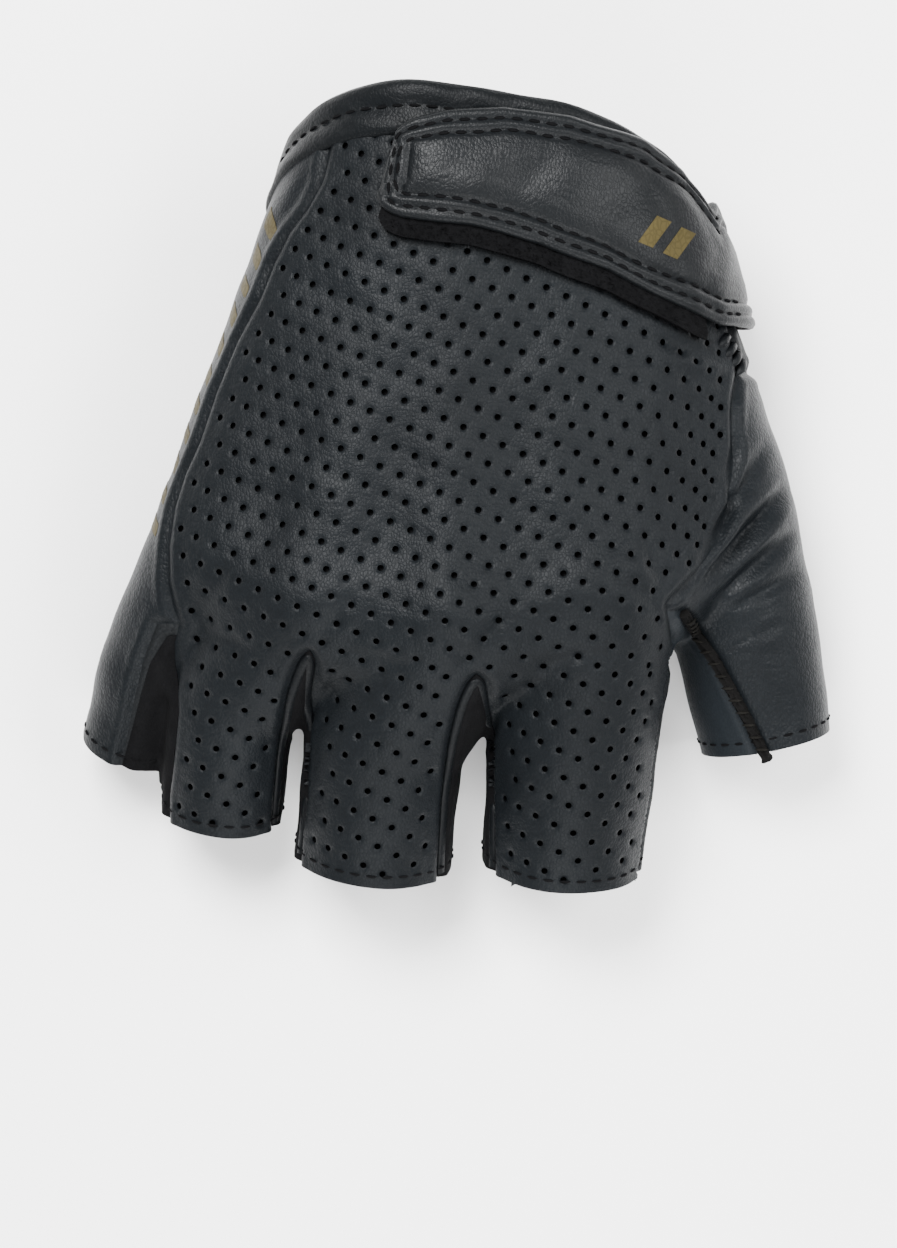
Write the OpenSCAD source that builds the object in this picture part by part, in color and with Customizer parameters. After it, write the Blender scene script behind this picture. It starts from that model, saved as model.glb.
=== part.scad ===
// Fingerless leather glove for the right hand, palm down, fingers towards -Y and thumb towards +X.
// One hand shape, made of balls hulled in rows, gives every layer: each leather piece is the layer
// between two growths of that shape, cut out with a flat pattern seen from above.

/* [Hand] */
// Breadth of the glove across the knuckles
hand_breadth = 100; // [90:1:110]
// Length of the stalls, as a share of the usual length
stall_share = 1; // [0.9:0.01:1.05]

/* [Leather] */
// Thickness of the panel leather
leather_t = 1.4; // [1.2:0.1:1.8]
// Thickness of the binding leather
binding_t = 0.9; // [0.7:0.1:1]
// Width of the binding round the wrist
binding_w = 7; // [5:0.5:9]

/* [Wrist strap] */
// Thickness of the loop patch on the back
loop_t = 1; // [0.9:0.1:1.4]
// Thickness of the hook tape under the strap
hook_t = 0.8; // [0.6:0.1:1.2]
// Thickness of the strap leather
strap_t = 1.3; // [1:0.1:1.6]
// Room between the hook tape and the loop patch
strap_gap = 0.4; // [0.3:0.05:0.5]

/* [Palm] */
// Thickness of the foam pads on the heel of the palm
pad_t = 2.5; // [2:0.1:3]
// Thickness of the patch over the pads
patch_t = 1.2; // [1:0.1:1.4]

/* [Thread] */
// Length of one stitch
stitch_l = 2.2; // [1.8:0.1:3]
// Width of the thread
thread_w = 0.7; // [0.5:0.05:0.9]

/* [Hidden] */

fit = hand_breadth / 100;
stack_t = leather_t + pad_t + patch_t;
binding_out = leather_t + binding_t;
strap_in = leather_t + loop_t + strap_gap;
strap_mid = strap_in + hook_t;
strap_out = strap_mid + strap_t;
elastic_t = 1.2;
print_t = 0.2;
thread_t = 0.45;
stitch_pitch = stitch_l + 1.3;
reach = 200;
$fn = 32;

// Balls of the hand inside the glove: [x, y, z, radius]
wrist_ulnar = [-3, 70, 27, 20.5];
wrist_radial = [15, 70, 26, 20.5];
heel_ulnar = [-18, 30, 24, 20.5];
heel_radial = [27, 29, 24, 20.5];
index_knuckle = [24, -19, 33, 15];
middle_knuckle = [-2, -24, 35, 15];
ring_knuckle = [-26, -20, 33, 14];
little_knuckle = [-41, -11, 27, 12.7];
thumb_knuckle = [45, -2, 18, 14];
web_index = [31, -14, 24, 9];
web_thumb = [42, -14, 18, 8];

// Each stall: [knuckle, middle ball, end ball, how far down the last stretch the hem is]
index = [index_knuckle, [20.8, -45, 25, 13.9], [17.5, -84, 7.5, 12.3], 0.56];
middle = [middle_knuckle, [-12.8, -45, 25.5, 13], [-17, -84, 8, 12.6], 0.54];
ring = [ring_knuckle, [-40, -38, 23, 10.1], [-44, -74, 5, 9.2], 0.55];
little = [little_knuckle, [-55, -32, 17, 8], [-63, -60, 1, 6.4], 0.5];
thumb = [thumb_knuckle, [52, -25, 15.5, 11.9], [59, -62, 8, 9.3], 0.54];
stalls = [index, middle, ring, little, thumb];

// Seams seen from above
ulnar_seam = [[-22, 76], [-23.6, 56], [-30.4, 45], [-35.3, 33.5], [-43.4, 17], [-49, 3],
    [-51.8, -11], [-50.8, -20], [-48, -27]];
thumb_seam = [[60, 22], [52, 20.5], [49.6, 14], [49.7, 5], [49, -3.6], [46.8, -9.9],
    [43.2, -15.8], [38, -21]];
thumb_palm_seam = [[60, 24], [44, 20], [33, 12], [29, 0], [31, -12], [38, -22]];
thumb_side_seam = [[41, -22], [46.3, -31], [50.6, -39], [57, -52]];
strap_top = [[-10, 63.4], [-1.3, 65.3], [8.5, 66], [20, 64.6], [31.5, 60.5], [43, 50.4], [60, 45]];
strap_foot = [[60, 25.5], [48.6, 28.6], [37.3, 32.6], [25.7, 38.3], [14.2, 43], [2.7, 46.4],
    [-11.6, 48.2]];
strap_end = [[-14, 49.6], [-14.6, 52], [-12.6, 61]];
strap_plan = concat(strap_end, strap_top, strap_foot);

// The strap hinges where it turns over the thumb edge of the wrist
hinge_z = 25;

function along(a, b, share) = a + (b - a) * share;
function xyz(ball) = [ball[0], ball[1], ball[2]];
function flat(ball) = [ball[0], ball[1]];
function hem_at(stall) = stall[3] * stall_share;
function hem_ball(stall) = along(stall[1], stall[2], hem_at(stall));
function run(path, i) = norm(path[i + 1] - path[i]);
function path_length(path, i = 0) = i > len(path) - 2 ? 0 : run(path, i) + path_length(path, i + 1);
function path_point(path, s, i = 0) =
    s <= run(path, i) || i > len(path) - 3 ? along(path[i], path[i + 1], s / run(path, i))
    : path_point(path, s - run(path, i), i + 1);
function path_angle(path, s) =
    let (a = path_point(path, s - 0.5), b = path_point(path, s + 0.5)) atan2(b[1] - a[1], b[0] - a[0]);

// ---- the hand shape -------------------------------------------------------------------------

// A row of balls grown by some leather and cut flat where it lies on the table
module limb(balls, grow, skin_floor) {
    difference() {
        hull() {
            for (ball = balls) translate(xyz(ball) * fit) sphere(ball[3] * fit + grow);
        }
        translate([-reach / 2, -reach / 2, skin_floor - grow - reach]) cube(reach);
    }
}

// Frame at the hem of a stall, +X running out of the hem
module at_hem(stall) {
    run = xyz(stall[2]) - xyz(stall[1]);
    translate(xyz(hem_ball(stall)) * fit)
        rotate([0, -asin(run[2] / norm(run)), atan2(run[1], run[0])]) children();
}

// Frame at the wrist opening, +Y running out of the glove
module at_wrist() {
    translate([7 * fit, 55 * fit, 26]) rotate([-30, 0, -8]) children();
}

module beyond(gap) {
    translate([gap, -reach / 2, -reach / 2]) cube(reach);
}

module stall_shape(stall, grow, past) {
    difference() {
        union() {
            limb([stall[0], stall[1]], grow, leather_t);
            limb([stall[1], stall[2]], grow, leather_t);
        }
        at_hem(stall) beyond(past);
    }
}

module hand(grow, past = 0) {
    difference() {
        union() {
            limb([wrist_ulnar, wrist_radial, heel_ulnar, heel_radial,
                index_knuckle, middle_knuckle, ring_knuckle, little_knuckle], grow, stack_t);
            limb([heel_radial, thumb_knuckle], grow, stack_t);
            limb([web_index, web_thumb, thumb_knuckle, heel_radial, index_knuckle], grow, stack_t);
        }
        at_wrist() rotate([0, 0, 90]) beyond(past);
    }
    for (stall = stalls) stall_shape(stall, grow, past);
}

module layer(inner, outer) {
    difference() {
        hand(outer);
        hand(inner, 1);
    }
}

// The upper side of every limb: the shape grown and lifted, so that the seam follows each limb
module upper_side() {
    translate([0, 0, 6]) hand(leather_t + 4, 20);
}

// ---- flat patterns --------------------------------------------------------------------------

module plan(points) {
    translate([0, 0, -5]) linear_extrude(80) scale(fit) polygon(points);
}

// The back of a stall, above its axis
module stall_strip(stall, share) {
    w = [for (ball = [stall[0], stall[1], stall[2]]) [share * (ball[3] + leather_t), 0]];
    intersection() {
        plan([for (i = [0:2]) flat(stall[i]) - w[i], for (i = [2:-1:0]) flat(stall[i]) + w[i]]);
        at_hem(stall) translate([-reach / 2, -reach / 2, -2]) cube(reach);
    }
}

// The little finger edge of the hand below the ulnar seam
module ulnar_low() {
    translate([-90, -14, -5] * fit) cube([70, 110, 29] * fit);
}

// Everything under the knuckles, which belongs to the palm
module knuckle_low() {
    translate([-60, -40, -5] * fit) cube([104, 60, 31.5] * fit);
}

module back_plan() {
    difference() {
        plan(concat(ulnar_seam, [[-26, -31], [4, -36], [38, -21]],
            [for (i = [len(thumb_seam) - 1:-1:0]) thumb_seam[i]], [[60, 90], [-22, 90]]));
        ulnar_low();
        knuckle_low();
    }
    stall_strip(index, 0.93);
    stall_strip(middle, 0.93);
    stall_strip(ring, 0.9);
}

module side_reach() {
    difference() {
        union() {
            plan(concat([for (p = ulnar_seam) p + [0.4, 0]], [[-56, -33], [-70, -33], [-90, 90], [-22, 90]]));
            stall_strip(little, 0.55);
            plan([for (ball = [little[0], little[1], little[2]]) flat(ball), [-90, -62], [-90, -10]]);
            ulnar_low();
        }
        translate([-56, -46, -5] * fit) cube([20, 32, 17] * fit);
    }
}

module side_plan() {
    difference() {
        side_reach();
        back_plan();
    }
}

// All that lies between the axes of two stalls
module between_stalls(low, high) {
    difference() {
        plan([for (i = [0:2]) flat(low[i]), for (i = [2:-1:0]) flat(high[i]) - [1, 0]]);
        translate([-90, -27, -5] * fit) cube([180, 90, 100] * fit);
    }
}

module fourchette_plan(low, high) {
    difference() {
        between_stalls(low, high);
        back_plan();
        side_plan();
    }
}

module thumb_plan() {
    plan(concat(thumb_seam, [[41, -50], [41, -90], [90, -90], [90, 22]]));
}

module thumb_palm_plan() {
    plan(concat(thumb_palm_seam, [[41, -50], [41, -90], [90, -90], [90, 24]]));
}

module thumb_inner_plan() {
    plan(concat(thumb_side_seam, [[41, -60], [30, -60], [30, -22]]));
    translate([30, -60, -5] * fit) cube([20, 50, 17] * fit);
}

module gusset_plan() {
    translate([39.4, -22.5, 9] * fit) cylinder(19, 3.4, 3.4);
}

module patch_plan() {
    translate([3, 15, -5] * fit) scale([1, 0.394, 1]) cylinder(24, 34, 34);
}

module heel_pad_plan(spread) {
    translate([-11.5, 15.2, -5] * fit) scale([1, 0.78, 1]) cylinder(24, 10.2 + spread, 10.2 + spread);
}

module thumb_pad_plan(spread) {
    translate([18, 15.5, -5] * fit) scale([1, 0.82, 1]) cylinder(24, 9.6 + spread, 9.6 + spread);
}

module above_hinge(gap) {
    translate([-reach / 2, -reach / 2, hinge_z * fit + gap]) cube(reach);
}

// ---- stitches -------------------------------------------------------------------------------

// Posts along a seam seen from above, each the length and width of one stitch
module post_row(path) {
    scaled = [for (p = path) p * fit];
    for (s = [stitch_pitch:stitch_pitch:path_length(scaled) - stitch_pitch / 2]) {
        p = path_point(scaled, s);
        translate([p[0], p[1], 35]) rotate(path_angle(scaled, s))
            cube([stitch_l, thread_w, 70], center = true);
    }
}

// Spokes round the back of a stall, a little way in from its hem
module spoke_row(stall, inset) {
    r = hem_ball(stall)[3] * fit + leather_t;
    step = stitch_pitch / r * 180 / PI;
    at_hem(stall) for (a = [-66:step:66]) rotate([a, 0, 0])
        translate([-inset, 0, r]) cube([thread_w, stitch_l, 1.4], center = true);
}

// ---- nodes ----------------------------------------------------------------------------------

module back_panel() {
    color("#23262b") intersection() {
        layer(0, leather_t);
        upper_side();
        difference() {
            back_plan();
            gusset_plan();
        }
    }
}

module side_panel() {
    color("#262a30") intersection() {
        layer(0, leather_t);
        upper_side();
        side_plan();
    }
}

module palm_panel() {
    color("#2a2c2f") difference() {
        layer(0, leather_t);
        intersection() {
            upper_side();
            union() {
                back_plan();
                side_reach();
                between_stalls(little, ring);
                between_stalls(ring, middle);
                between_stalls(middle, index);
                thumb_plan();
                gusset_plan();
            }
        }
        thumb_palm_plan();
    }
}

module fourchette(low, high) {
    color("#17181a") intersection() {
        layer(0, leather_t);
        upper_side();
        fourchette_plan(low, high);
    }
}

module fourchette_little_ring() {
    fourchette(little, ring);
}

module fourchette_ring_middle() {
    fourchette(ring, middle);
}

module fourchette_middle_index() {
    fourchette(middle, index);
}

module thumb_outer() {
    color("#272b31") difference() {
        intersection() {
            layer(0, leather_t);
            upper_side();
            thumb_plan();
        }
        thumb_inner_plan();
        gusset_plan();
        stall_strip(index, 0.93);
    }
}

module thumb_inner() {
    color("#3a3d40") difference() {
        intersection() {
            layer(0, leather_t);
            thumb_palm_plan();
        }
        difference() {
            upper_side();
            intersection() {
                thumb_inner_plan();
                thumb_plan();
            }
        }
        intersection() {
            upper_side();
            union() {
                gusset_plan();
                stall_strip(index, 0.93);
            }
        }
    }
}

module thumb_gusset() {
    color("#1d1f22") intersection() {
        layer(0, leather_t);
        upper_side();
        gusset_plan();
    }
}

// Folded over the raw edge: outside, across the edge and inside
module wrist_binding() {
    color("#1c1e22") intersection() {
        difference() {
            hand(binding_out, binding_t);
            hand(-binding_t, 9);
            layer(0, leather_t);
        }
        at_wrist() translate([-reach / 2, -binding_w, -reach / 2]) cube(reach);
    }
}

module wrist_elastic() {
    color("#303030") difference() {
        intersection() {
            layer(-elastic_t, 0);
            at_wrist() translate([-reach / 2, -binding_w - 10, -reach / 2]) cube([reach, 9.5, reach]);
        }
        translate([-reach / 2, -reach / 2, 16]) cube(reach);
    }
}

module loop_patch() {
    color("#15161a") intersection() {
        layer(leather_t, leather_t + loop_t);
        above_hinge(8);
        difference() {
            plan([[-11.5, 60], [-12.5, 49], [2.7, 47.2], [14.2, 44], [25.7, 39.4], [34, 36], [38, 49],
                [31.5, 55], [20, 59], [8.5, 60.6]]);
            at_wrist() translate([-reach / 2, -binding_w - 0.3, -reach / 2]) cube(reach);
        }
    }
}

module strap_leather() {
    color("#2b3036") intersection() {
        layer(strap_mid, strap_out);
        above_hinge(0.15);
        plan(strap_plan);
    }
}

// The tape shows as a fuzzy edge below the strap
module strap_hook_tape() {
    color("#0f1012") intersection() {
        layer(strap_in, strap_mid);
        above_hinge(6);
        plan(concat([[-13.6, 51], [-12, 60]], [for (i = [1:4]) strap_top[i] - [0, 2]],
            [[40, 50], [44, 28], [37.3, 30.2], [25.7, 35.8], [14.2, 40.5], [2.7, 43.8], [-12.8, 45.2]]));
    }
}

// The root of the strap, turned round the thumb edge and sewn down on the palm side
module strap_anchor() {
    color("#24282d") difference() {
        intersection() {
            union() {
                layer(leather_t, leather_t + strap_t);
                intersection() {
                    layer(leather_t, strap_out);
                    above_hinge(-9);
                }
            }
            plan([[20, 49.5], [60, 44], [60, 26], [20, 31]]);
            above_hinge(-19);
        }
        above_hinge(-0.15);
        at_wrist() translate([-reach / 2, -binding_w - 0.3, -reach / 2]) cube(reach);
    }
}

module under_side(z) {
    translate([-reach / 2, -reach / 2, -5]) cube([reach, reach, z + 5]);
}

// Sewn over the pads, with a hollow for each
module palm_patch() {
    color("#26282b") difference() {
        intersection() {
            union() {
                intersection() {
                    hand(leather_t + patch_t);
                    patch_plan();
                }
                intersection() {
                    hand(stack_t);
                    union() {
                        heel_pad_plan(1.6);
                        thumb_pad_plan(1.6);
                    }
                }
            }
            under_side(14);
        }
        hand(leather_t, 5);
        intersection() {
            hand(leather_t + pad_t);
            union() {
                heel_pad_plan(0);
                thumb_pad_plan(0);
            }
        }
    }
}

module heel_pad() {
    color("#6f6a60") intersection() {
        layer(leather_t, leather_t + pad_t);
        heel_pad_plan(0);
        under_side(14);
    }
}

module thumb_base_pad() {
    color("#6f6a60") intersection() {
        layer(leather_t, leather_t + pad_t);
        thumb_pad_plan(0);
        under_side(14);
    }
}

module thumb_seam_stitching() {
    color("#7a7466") intersection() {
        layer(leather_t, leather_t + thread_t);
        upper_side();
        post_row([[44.4, -25], [47.5, -30.4], [51.8, -38.4], [57, -50]]);
    }
}

module hem_stitching() {
    color("#101113") intersection() {
        layer(leather_t, leather_t + thread_t);
        union() {
            for (stall = stalls) spoke_row(stall, 2.3);
        }
    }
}

module binding_stitching() {
    step = stitch_pitch / 38 * 180 / PI;
    color("#0c0d0f") intersection() {
        layer(binding_out, binding_out + thread_t);
        at_wrist() for (a = [-78:step:78]) rotate([0, a, 0])
            translate([0, -3, 32]) cube([stitch_l, thread_w, 60], center = true);
    }
}

module strap_stitching() {
    color("#101113") intersection() {
        layer(strap_out, strap_out + thread_t);
        above_hinge(4);
        for (inset = [2.6, 5.4]) {
            post_row([[40, 50.6 - inset], [31.5, 60.5 - inset], [20, 64.6 - inset], [8.5, 66 - inset],
                [-1.3, 65.3 - inset], [-12 + inset, 61.8 - inset], [-14.4 + inset, 52],
                [-13 + inset, 48.6 + inset], [2.7, 46.4 + inset], [14.2, 43 + inset],
                [25.7, 38.3 + inset], [37.3, 32.6 + inset], [44, 30 + inset]]);
        }
    }
}

module palm_patch_stitching() {
    color("#101113") intersection() {
        layer(leather_t + patch_t, leather_t + patch_t + thread_t);
        under_side(14);
        post_row([for (a = [0:10:360]) [3 + 32.4 * cos(a), 15 + 11.9 * sin(a)]]);
    }
}

// A plain row of slanted bars down the edge of the side panel
module edge_print() {
    color("#8c7a58") intersection() {
        layer(leather_t, leather_t + print_t);
        upper_side();
        union() {
            for (i = [0:6]) {
                p = path_point(ulnar_seam, 37 + 9 * i);
                plan([p + [-5.5, 3], p + [-2, 4.6], p + [-2, 0.6], p + [-5.5, -1]]);
            }
        }
    }
}

// A plain pair of slanted bars on the strap
module strap_print() {
    color("#8c7a58") intersection() {
        layer(strap_out, strap_out + print_t);
        above_hinge(4);
        union() {
            for (d = [0, 4.6]) {
                plan([[32 + d, 42.2], [34.6 + d, 41.2], [38 + d, 46], [35.4 + d, 47]]);
            }
        }
    }
}

back_panel();
side_panel();
palm_panel();
fourchette_little_ring();
fourchette_ring_middle();
fourchette_middle_index();
thumb_outer();
thumb_inner();
thumb_gusset();
wrist_binding();
wrist_elastic();
loop_patch();
strap_leather();
strap_hook_tape();
strap_anchor();
palm_patch();
heel_pad();
thumb_base_pad();
thumb_seam_stitching();
hem_stitching();
binding_stitching();
strap_stitching();
palm_patch_stitching();
edge_print();
strap_print();
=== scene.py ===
"""Fingerless leather glove: every panel is cut from one smooth hand form and sewn in place."""
import math

import bpy
import numpy as np
from mathutils import Matrix, Vector
from mathutils.bvhtree import BVHTree
from mathutils.geometry import delaunay_2d_cdt
from mathutils.kdtree import KDTree


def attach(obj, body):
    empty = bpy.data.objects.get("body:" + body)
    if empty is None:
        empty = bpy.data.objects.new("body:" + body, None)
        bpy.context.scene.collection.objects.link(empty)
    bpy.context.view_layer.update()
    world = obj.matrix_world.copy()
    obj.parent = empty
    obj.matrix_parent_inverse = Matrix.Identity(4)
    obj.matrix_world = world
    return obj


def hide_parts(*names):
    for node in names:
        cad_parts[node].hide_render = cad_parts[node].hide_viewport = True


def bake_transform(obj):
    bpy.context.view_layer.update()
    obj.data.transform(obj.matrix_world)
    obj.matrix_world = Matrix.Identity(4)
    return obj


bl_info = {
    "name": "Fingerless leather glove",
    "version": (1, 0, 0),
    "blender": (4, 5, 0),
    "location": "3D View > Sidebar > Glove",
    "description": "Builds a punched leather driving glove with a peel-open wrist strap",
    "category": "Add Mesh",
}

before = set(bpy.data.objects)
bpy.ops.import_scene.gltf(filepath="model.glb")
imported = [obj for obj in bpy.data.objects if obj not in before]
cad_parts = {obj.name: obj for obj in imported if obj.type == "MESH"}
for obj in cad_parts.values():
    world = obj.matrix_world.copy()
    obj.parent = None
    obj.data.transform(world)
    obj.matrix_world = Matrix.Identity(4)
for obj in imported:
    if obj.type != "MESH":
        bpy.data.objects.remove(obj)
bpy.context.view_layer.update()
MM = 0.001
EASE = 1.4  # skin of the glove over the balls of the hand form
SEAM_DEPTH, SEAM_WIDTH = 0.85, 0.95  # how far and how widely a panel dips at its seams

# ---- the hand form, in millimetres: balls as x, y, z, radius ---------------------------------

WRIST_U, WRIST_R = (-3, 70, 27, 20.5), (15, 70, 26, 20.5)
HEEL_U, HEEL_R = (-18, 30, 24, 20.5), (27, 29, 24, 20.5)
KNUCKLE = {
    "index": (24, -19, 33, 15), "middle": (-2, -24, 35, 15), "ring": (-26, -20, 33, 14),
    "little": (-41, -11, 27, 12.7), "thumb": (45, -2, 18, 14)}
STALLS = {  # knuckle, middle ball, end ball, share of the last stretch where the hem is
    "index": (KNUCKLE["index"], (20.8, -45, 25, 13.9), (17.5, -84, 7.5, 12.3), 0.56),
    "middle": (KNUCKLE["middle"], (-12.8, -45, 25.5, 13), (-17, -84, 8, 12.6), 0.54),
    "ring": (KNUCKLE["ring"], (-40, -38, 23, 10.1), (-44, -74, 5, 9.2), 0.55),
    "little": (KNUCKLE["little"], (-55, -32, 17, 8), (-63, -60, 1, 6.4), 0.5),
    "thumb": (KNUCKLE["thumb"], (52, -25, 15.5, 11.9), (59, -62, 8, 9.3), 0.54)}
WEB = ((31, -14, 24, 9), (42, -14, 18, 8))

# ---- seams seen from above, in millimetres --------------------------------------------------

ULNAR_SEAM = [(-22, 78), (-22.3, 63.2), (-23.4, 58), (-24.4, 53.6), (-27, 49), (-30.2, 45),
              (-32.9, 39.8), (-35.4, 33.5), (-39.4, 26), (-43.2, 17), (-46.2, 8), (-48.9, 2),
              (-50.8, -4), (-51.8, -11), (-51.8, -17), (-50.9, -21.5), (-49.6, -25)]
THUMB_SEAM = [(37.8, -21.5), (40.5, -18.6), (43.4, -15.6), (46.8, -10), (48.9, -3.6), (49.8, 5),
              (49.7, 14), (50.6, 20.5)]
RING_SLOT = [(-32.6, -80), (-32.5, -60), (-31.4, -48), (-29.8, -38), (-27.8, -32.2), (-26.2, -30),
             (-25.2, -32), (-26.1, -40), (-27.0, -54), (-28.2, -66), (-29, -90)]
INDEX_SLOT = [(-3, -90), (-2.7, -68), (-2, -56), (-0.8, -46), (0.6, -40), (2.4, -35.8), (3.8, -34.4),
              (5.2, -35.8), (6.2, -41), (6.2, -48), (6.4, -66), (6.4, -90)]
INDEX_EDGE = [(36.2, -90), (36.6, -66), (37.6, -55), (38.4, -45), (39.2, -36), (39.2, -28)]
RING_EDGE = [(-50.4, -28.4), (-50.2, -40), (-51.8, -54), (-52.8, -80)]
WRIST_EDGE = [(49.4, 26), (47.6, 36), (44.6, 46), (41.4, 55), (38, 64), (36, 78)]
BACK = ULNAR_SEAM + RING_EDGE + RING_SLOT + INDEX_SLOT + INDEX_EDGE + THUMB_SEAM + WRIST_EDGE
SIDE = (ULNAR_SEAM + [(-53.8, -24.8), (-56.2, -31), (-57.8, -38), (-59.8, -47), (-63, -70),
                      (-95, -70), (-95, 95), (-22, 95)])
EDGE_OF_HAND = [(-95, -16), (-16, -16), (-16, 95), (-95, 95)]
THUMB_TOP = THUMB_SEAM + [(62, 23), (95, 23), (95, -95), (41.5, -95), (38.9, -40), (37.8, -24)]
THUMB_UNDER = [(37.8, -22), (31, -12), (29, 0), (33, 12), (44, 20), (62, 24), (95, 24), (95, -95),
               (41, -95), (38.9, -40)]
THUMB_RIDGE = [(40.6, -23), (43.6, -27), (46.5, -31.2), (50.8, -39), (55.2, -47.4), (58, -54)]
THUMB_INNER = THUMB_RIDGE + [(58, -95), (20, -95), (20, -23)]
STRAP_TOP = [(-10, 63.6), (-1.3, 65.4), (8.5, 66.2), (20, 64.8), (31.5, 60.6), (38, 55.5), (43, 50.2)]
STRAP_FOOT = [(-11.6, 47), (2.7, 45.2), (14.2, 41.8), (25.7, 37.2), (37.3, 31.6), (48.2, 27.8)]

WRIST_LEVEL = 25  # height of the middle of the wrist
STRAP_END, STRAP_ROOT = 124.5, -34  # turn round the wrist of the strap's two ends, in degrees
ROUND_END = 3.2  # radius of the corners at the free end of a band
STRAP_ROWS = (2.0, 4.2)  # how far the two stitch rows lie in from the strap's edge

# ---- the binding, the palm patch and the prints, in millimetres ---------------------------------

BINDING = [(7.6, -0.25), (7.3, 0.45), (6.6, 0.85), (5.4, 0.8), (4.2, 0.72), (3.4, 0.42), (3.0, 0.36),
           (2.6, 0.42), (1.8, 0.85), (0.6, 1.05), (-0.4, 0.95), (-1.1, 0.3), (-1.25, -0.6),
           (-0.9, -1.5), (0.0, -2.0), (2.5, -2.05), (5.5, -2.0), (6.6, -1.95), (6.7, -1.3)]
PATCH = (3, 15, 34, 13.4)  # centre and half sizes
PADS = ((-11.5, 15.2, 11.6, 9.2), (18, 15.5, 11.0, 9.0))
PATCH_STITCHES = (32.1, 11.5)
STRAP_BAR = [(32.2, 42.4), (34.8, 41.4), (38.2, 46.2), (35.6, 47.2)]
STRAP_BAR_STEP = 4.4
SIDE_BARS, SIDE_BAR_START, SIDE_BAR_STEP = 11, 38, 5.6  # along the seam from the wrist
SIDE_BAR_WIDTH, SIDE_BAR_LENGTH, SIDE_BAR_TOP = 2.5, 5.4, 52
SIDE_BAR_DEPTH, SIDE_BAR_SLANT = 5.6, 0.45  # middle of the bars below the seam, and their slant

# ---- the relief of the back: knuckles, tendons and hollows, in millimetres ----------------------

BUMPS = ((24, -20, 1.5, 9), (-2.5, -23, 1.9, 9), (-25, -20, 1.2, 8), (-40, -13, 0.8, 7))
TENDONS = (((6, 52), (22, -14)), ((2, 52), (-2, -18)), ((-3, 52), (-23, -15)))
HOLLOWS = (((12, 40), (11, -12)), ((-6, 40), (-13, -12)), ((-18, 30), (-33, -8)))
CREASES = (  # x and y of both ends, depth, width
    (61, 2, 42, -20, 1.5, 1.3), (63, -6, 45, -21, 0.9, 1.2), (56, 8, 41, -17.5, 0.8, 1.1),
    (64, -14, 47, -23, 0.5, 1.0), (52, 12, 42, -14, 0.35, 1.0), (60, -24, 47, -29, 0.3, 1.0),
    (-45, -26, -36, -30, 0.45, 1.2), (-20, -30, -6, -33, 0.35, 1.2), (10, -33, 30, -30, 0.35, 1.3),
    (-24, -27, -18, -20, 0.35, 1.4), (3, -32, 10, -22, 0.45, 1.5), (3, -33, -4, -24, 0.4, 1.4),
    (36, -22, 28, -16, 0.45, 1.5), (37, -20, 33, -8, 0.35, 1.5), (-46, -24, -40, -14, 0.35, 1.4),
    (48, 22, 36, 26, 0.5, 1.3), (49, 18, 38, 20, 0.35, 1.2), (-32, 44, -24, 58, 0.5, 1.5),
    (-37, 40, -28, 52, 0.35, 1.3))

# ---- camera ---------------------------------------------------------------------------------

LENS, SENSOR = 200, 24
VIEW_HEIGHT = 224.64  # what the frame spans from top to bottom, in millimetres
VIEW_CENTRE = (-1.35, -24.12, 16)
VIEW_TILT = math.radians(88)

WORK = {}


# ---- small tools ----------------------------------------------------------------------------

def settings():
    return bpy.context.scene.glove


def deselect():
    if bpy.context.mode != "OBJECT":
        bpy.ops.object.mode_set(mode="OBJECT")
    bpy.ops.object.select_all(action="DESELECT")


def only(obj):
    deselect()
    obj.select_set(True)
    bpy.context.view_layer.objects.active = obj
    return obj


def unit(vectors):
    """The rows of an array at length one."""
    return vectors / np.linalg.norm(vectors, axis=1)[:, None]


def new_object(name, points, faces):
    """An object from points in millimetres."""
    mesh = bpy.data.meshes.new(name)
    mesh.from_pydata((np.asarray(points, float) * MM).tolist(), [], [list(map(int, f)) for f in faces])
    mesh.update()
    obj = bpy.data.objects.new(name, mesh)
    bpy.context.scene.collection.objects.link(obj)
    return obj


def face_outwards(obj):
    only(obj)
    bpy.ops.object.mode_set(mode="EDIT")
    bpy.ops.mesh.select_all(action="SELECT")
    bpy.ops.mesh.normals_make_consistent(inside=False)
    bpy.ops.object.mode_set(mode="OBJECT")
    return obj


def quads(rows, columns):
    """Faces over a grid of points."""
    corners = [i * columns + j for i in range(rows - 1) for j in range(columns - 1)]
    return [(a, a + 1, a + columns + 1, a + columns) for a in corners]


def apply_modifiers(obj):
    only(obj)
    for modifier in list(obj.modifiers):
        bpy.ops.object.modifier_apply(modifier=modifier.name)


def smooth(obj, angle=40):
    only(obj)
    bpy.ops.object.shade_smooth_by_angle(angle=math.radians(angle))


def solidify(obj, thickness, offset=-1.0, angle=40):
    modifier = obj.modifiers.new("thickness", "SOLIDIFY")
    modifier.thickness = thickness * MM
    modifier.offset = offset
    modifier.use_even_offset = False
    apply_modifiers(obj)
    smooth(obj, angle)


def finish_piece(obj, material, nodes, body="glove"):
    obj.data.materials.clear()
    obj.data.materials.append(material)
    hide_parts(*nodes)
    if body:
        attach(obj, body)
    return obj


def segment_distance(points, a, b):
    a, b = np.asarray(a, float), np.asarray(b, float)
    along = b - a
    share = np.clip((points - a) @ along / (along @ along), 0, 1)
    return np.linalg.norm(points - a - share[:, None] * along, axis=1), share


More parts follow.
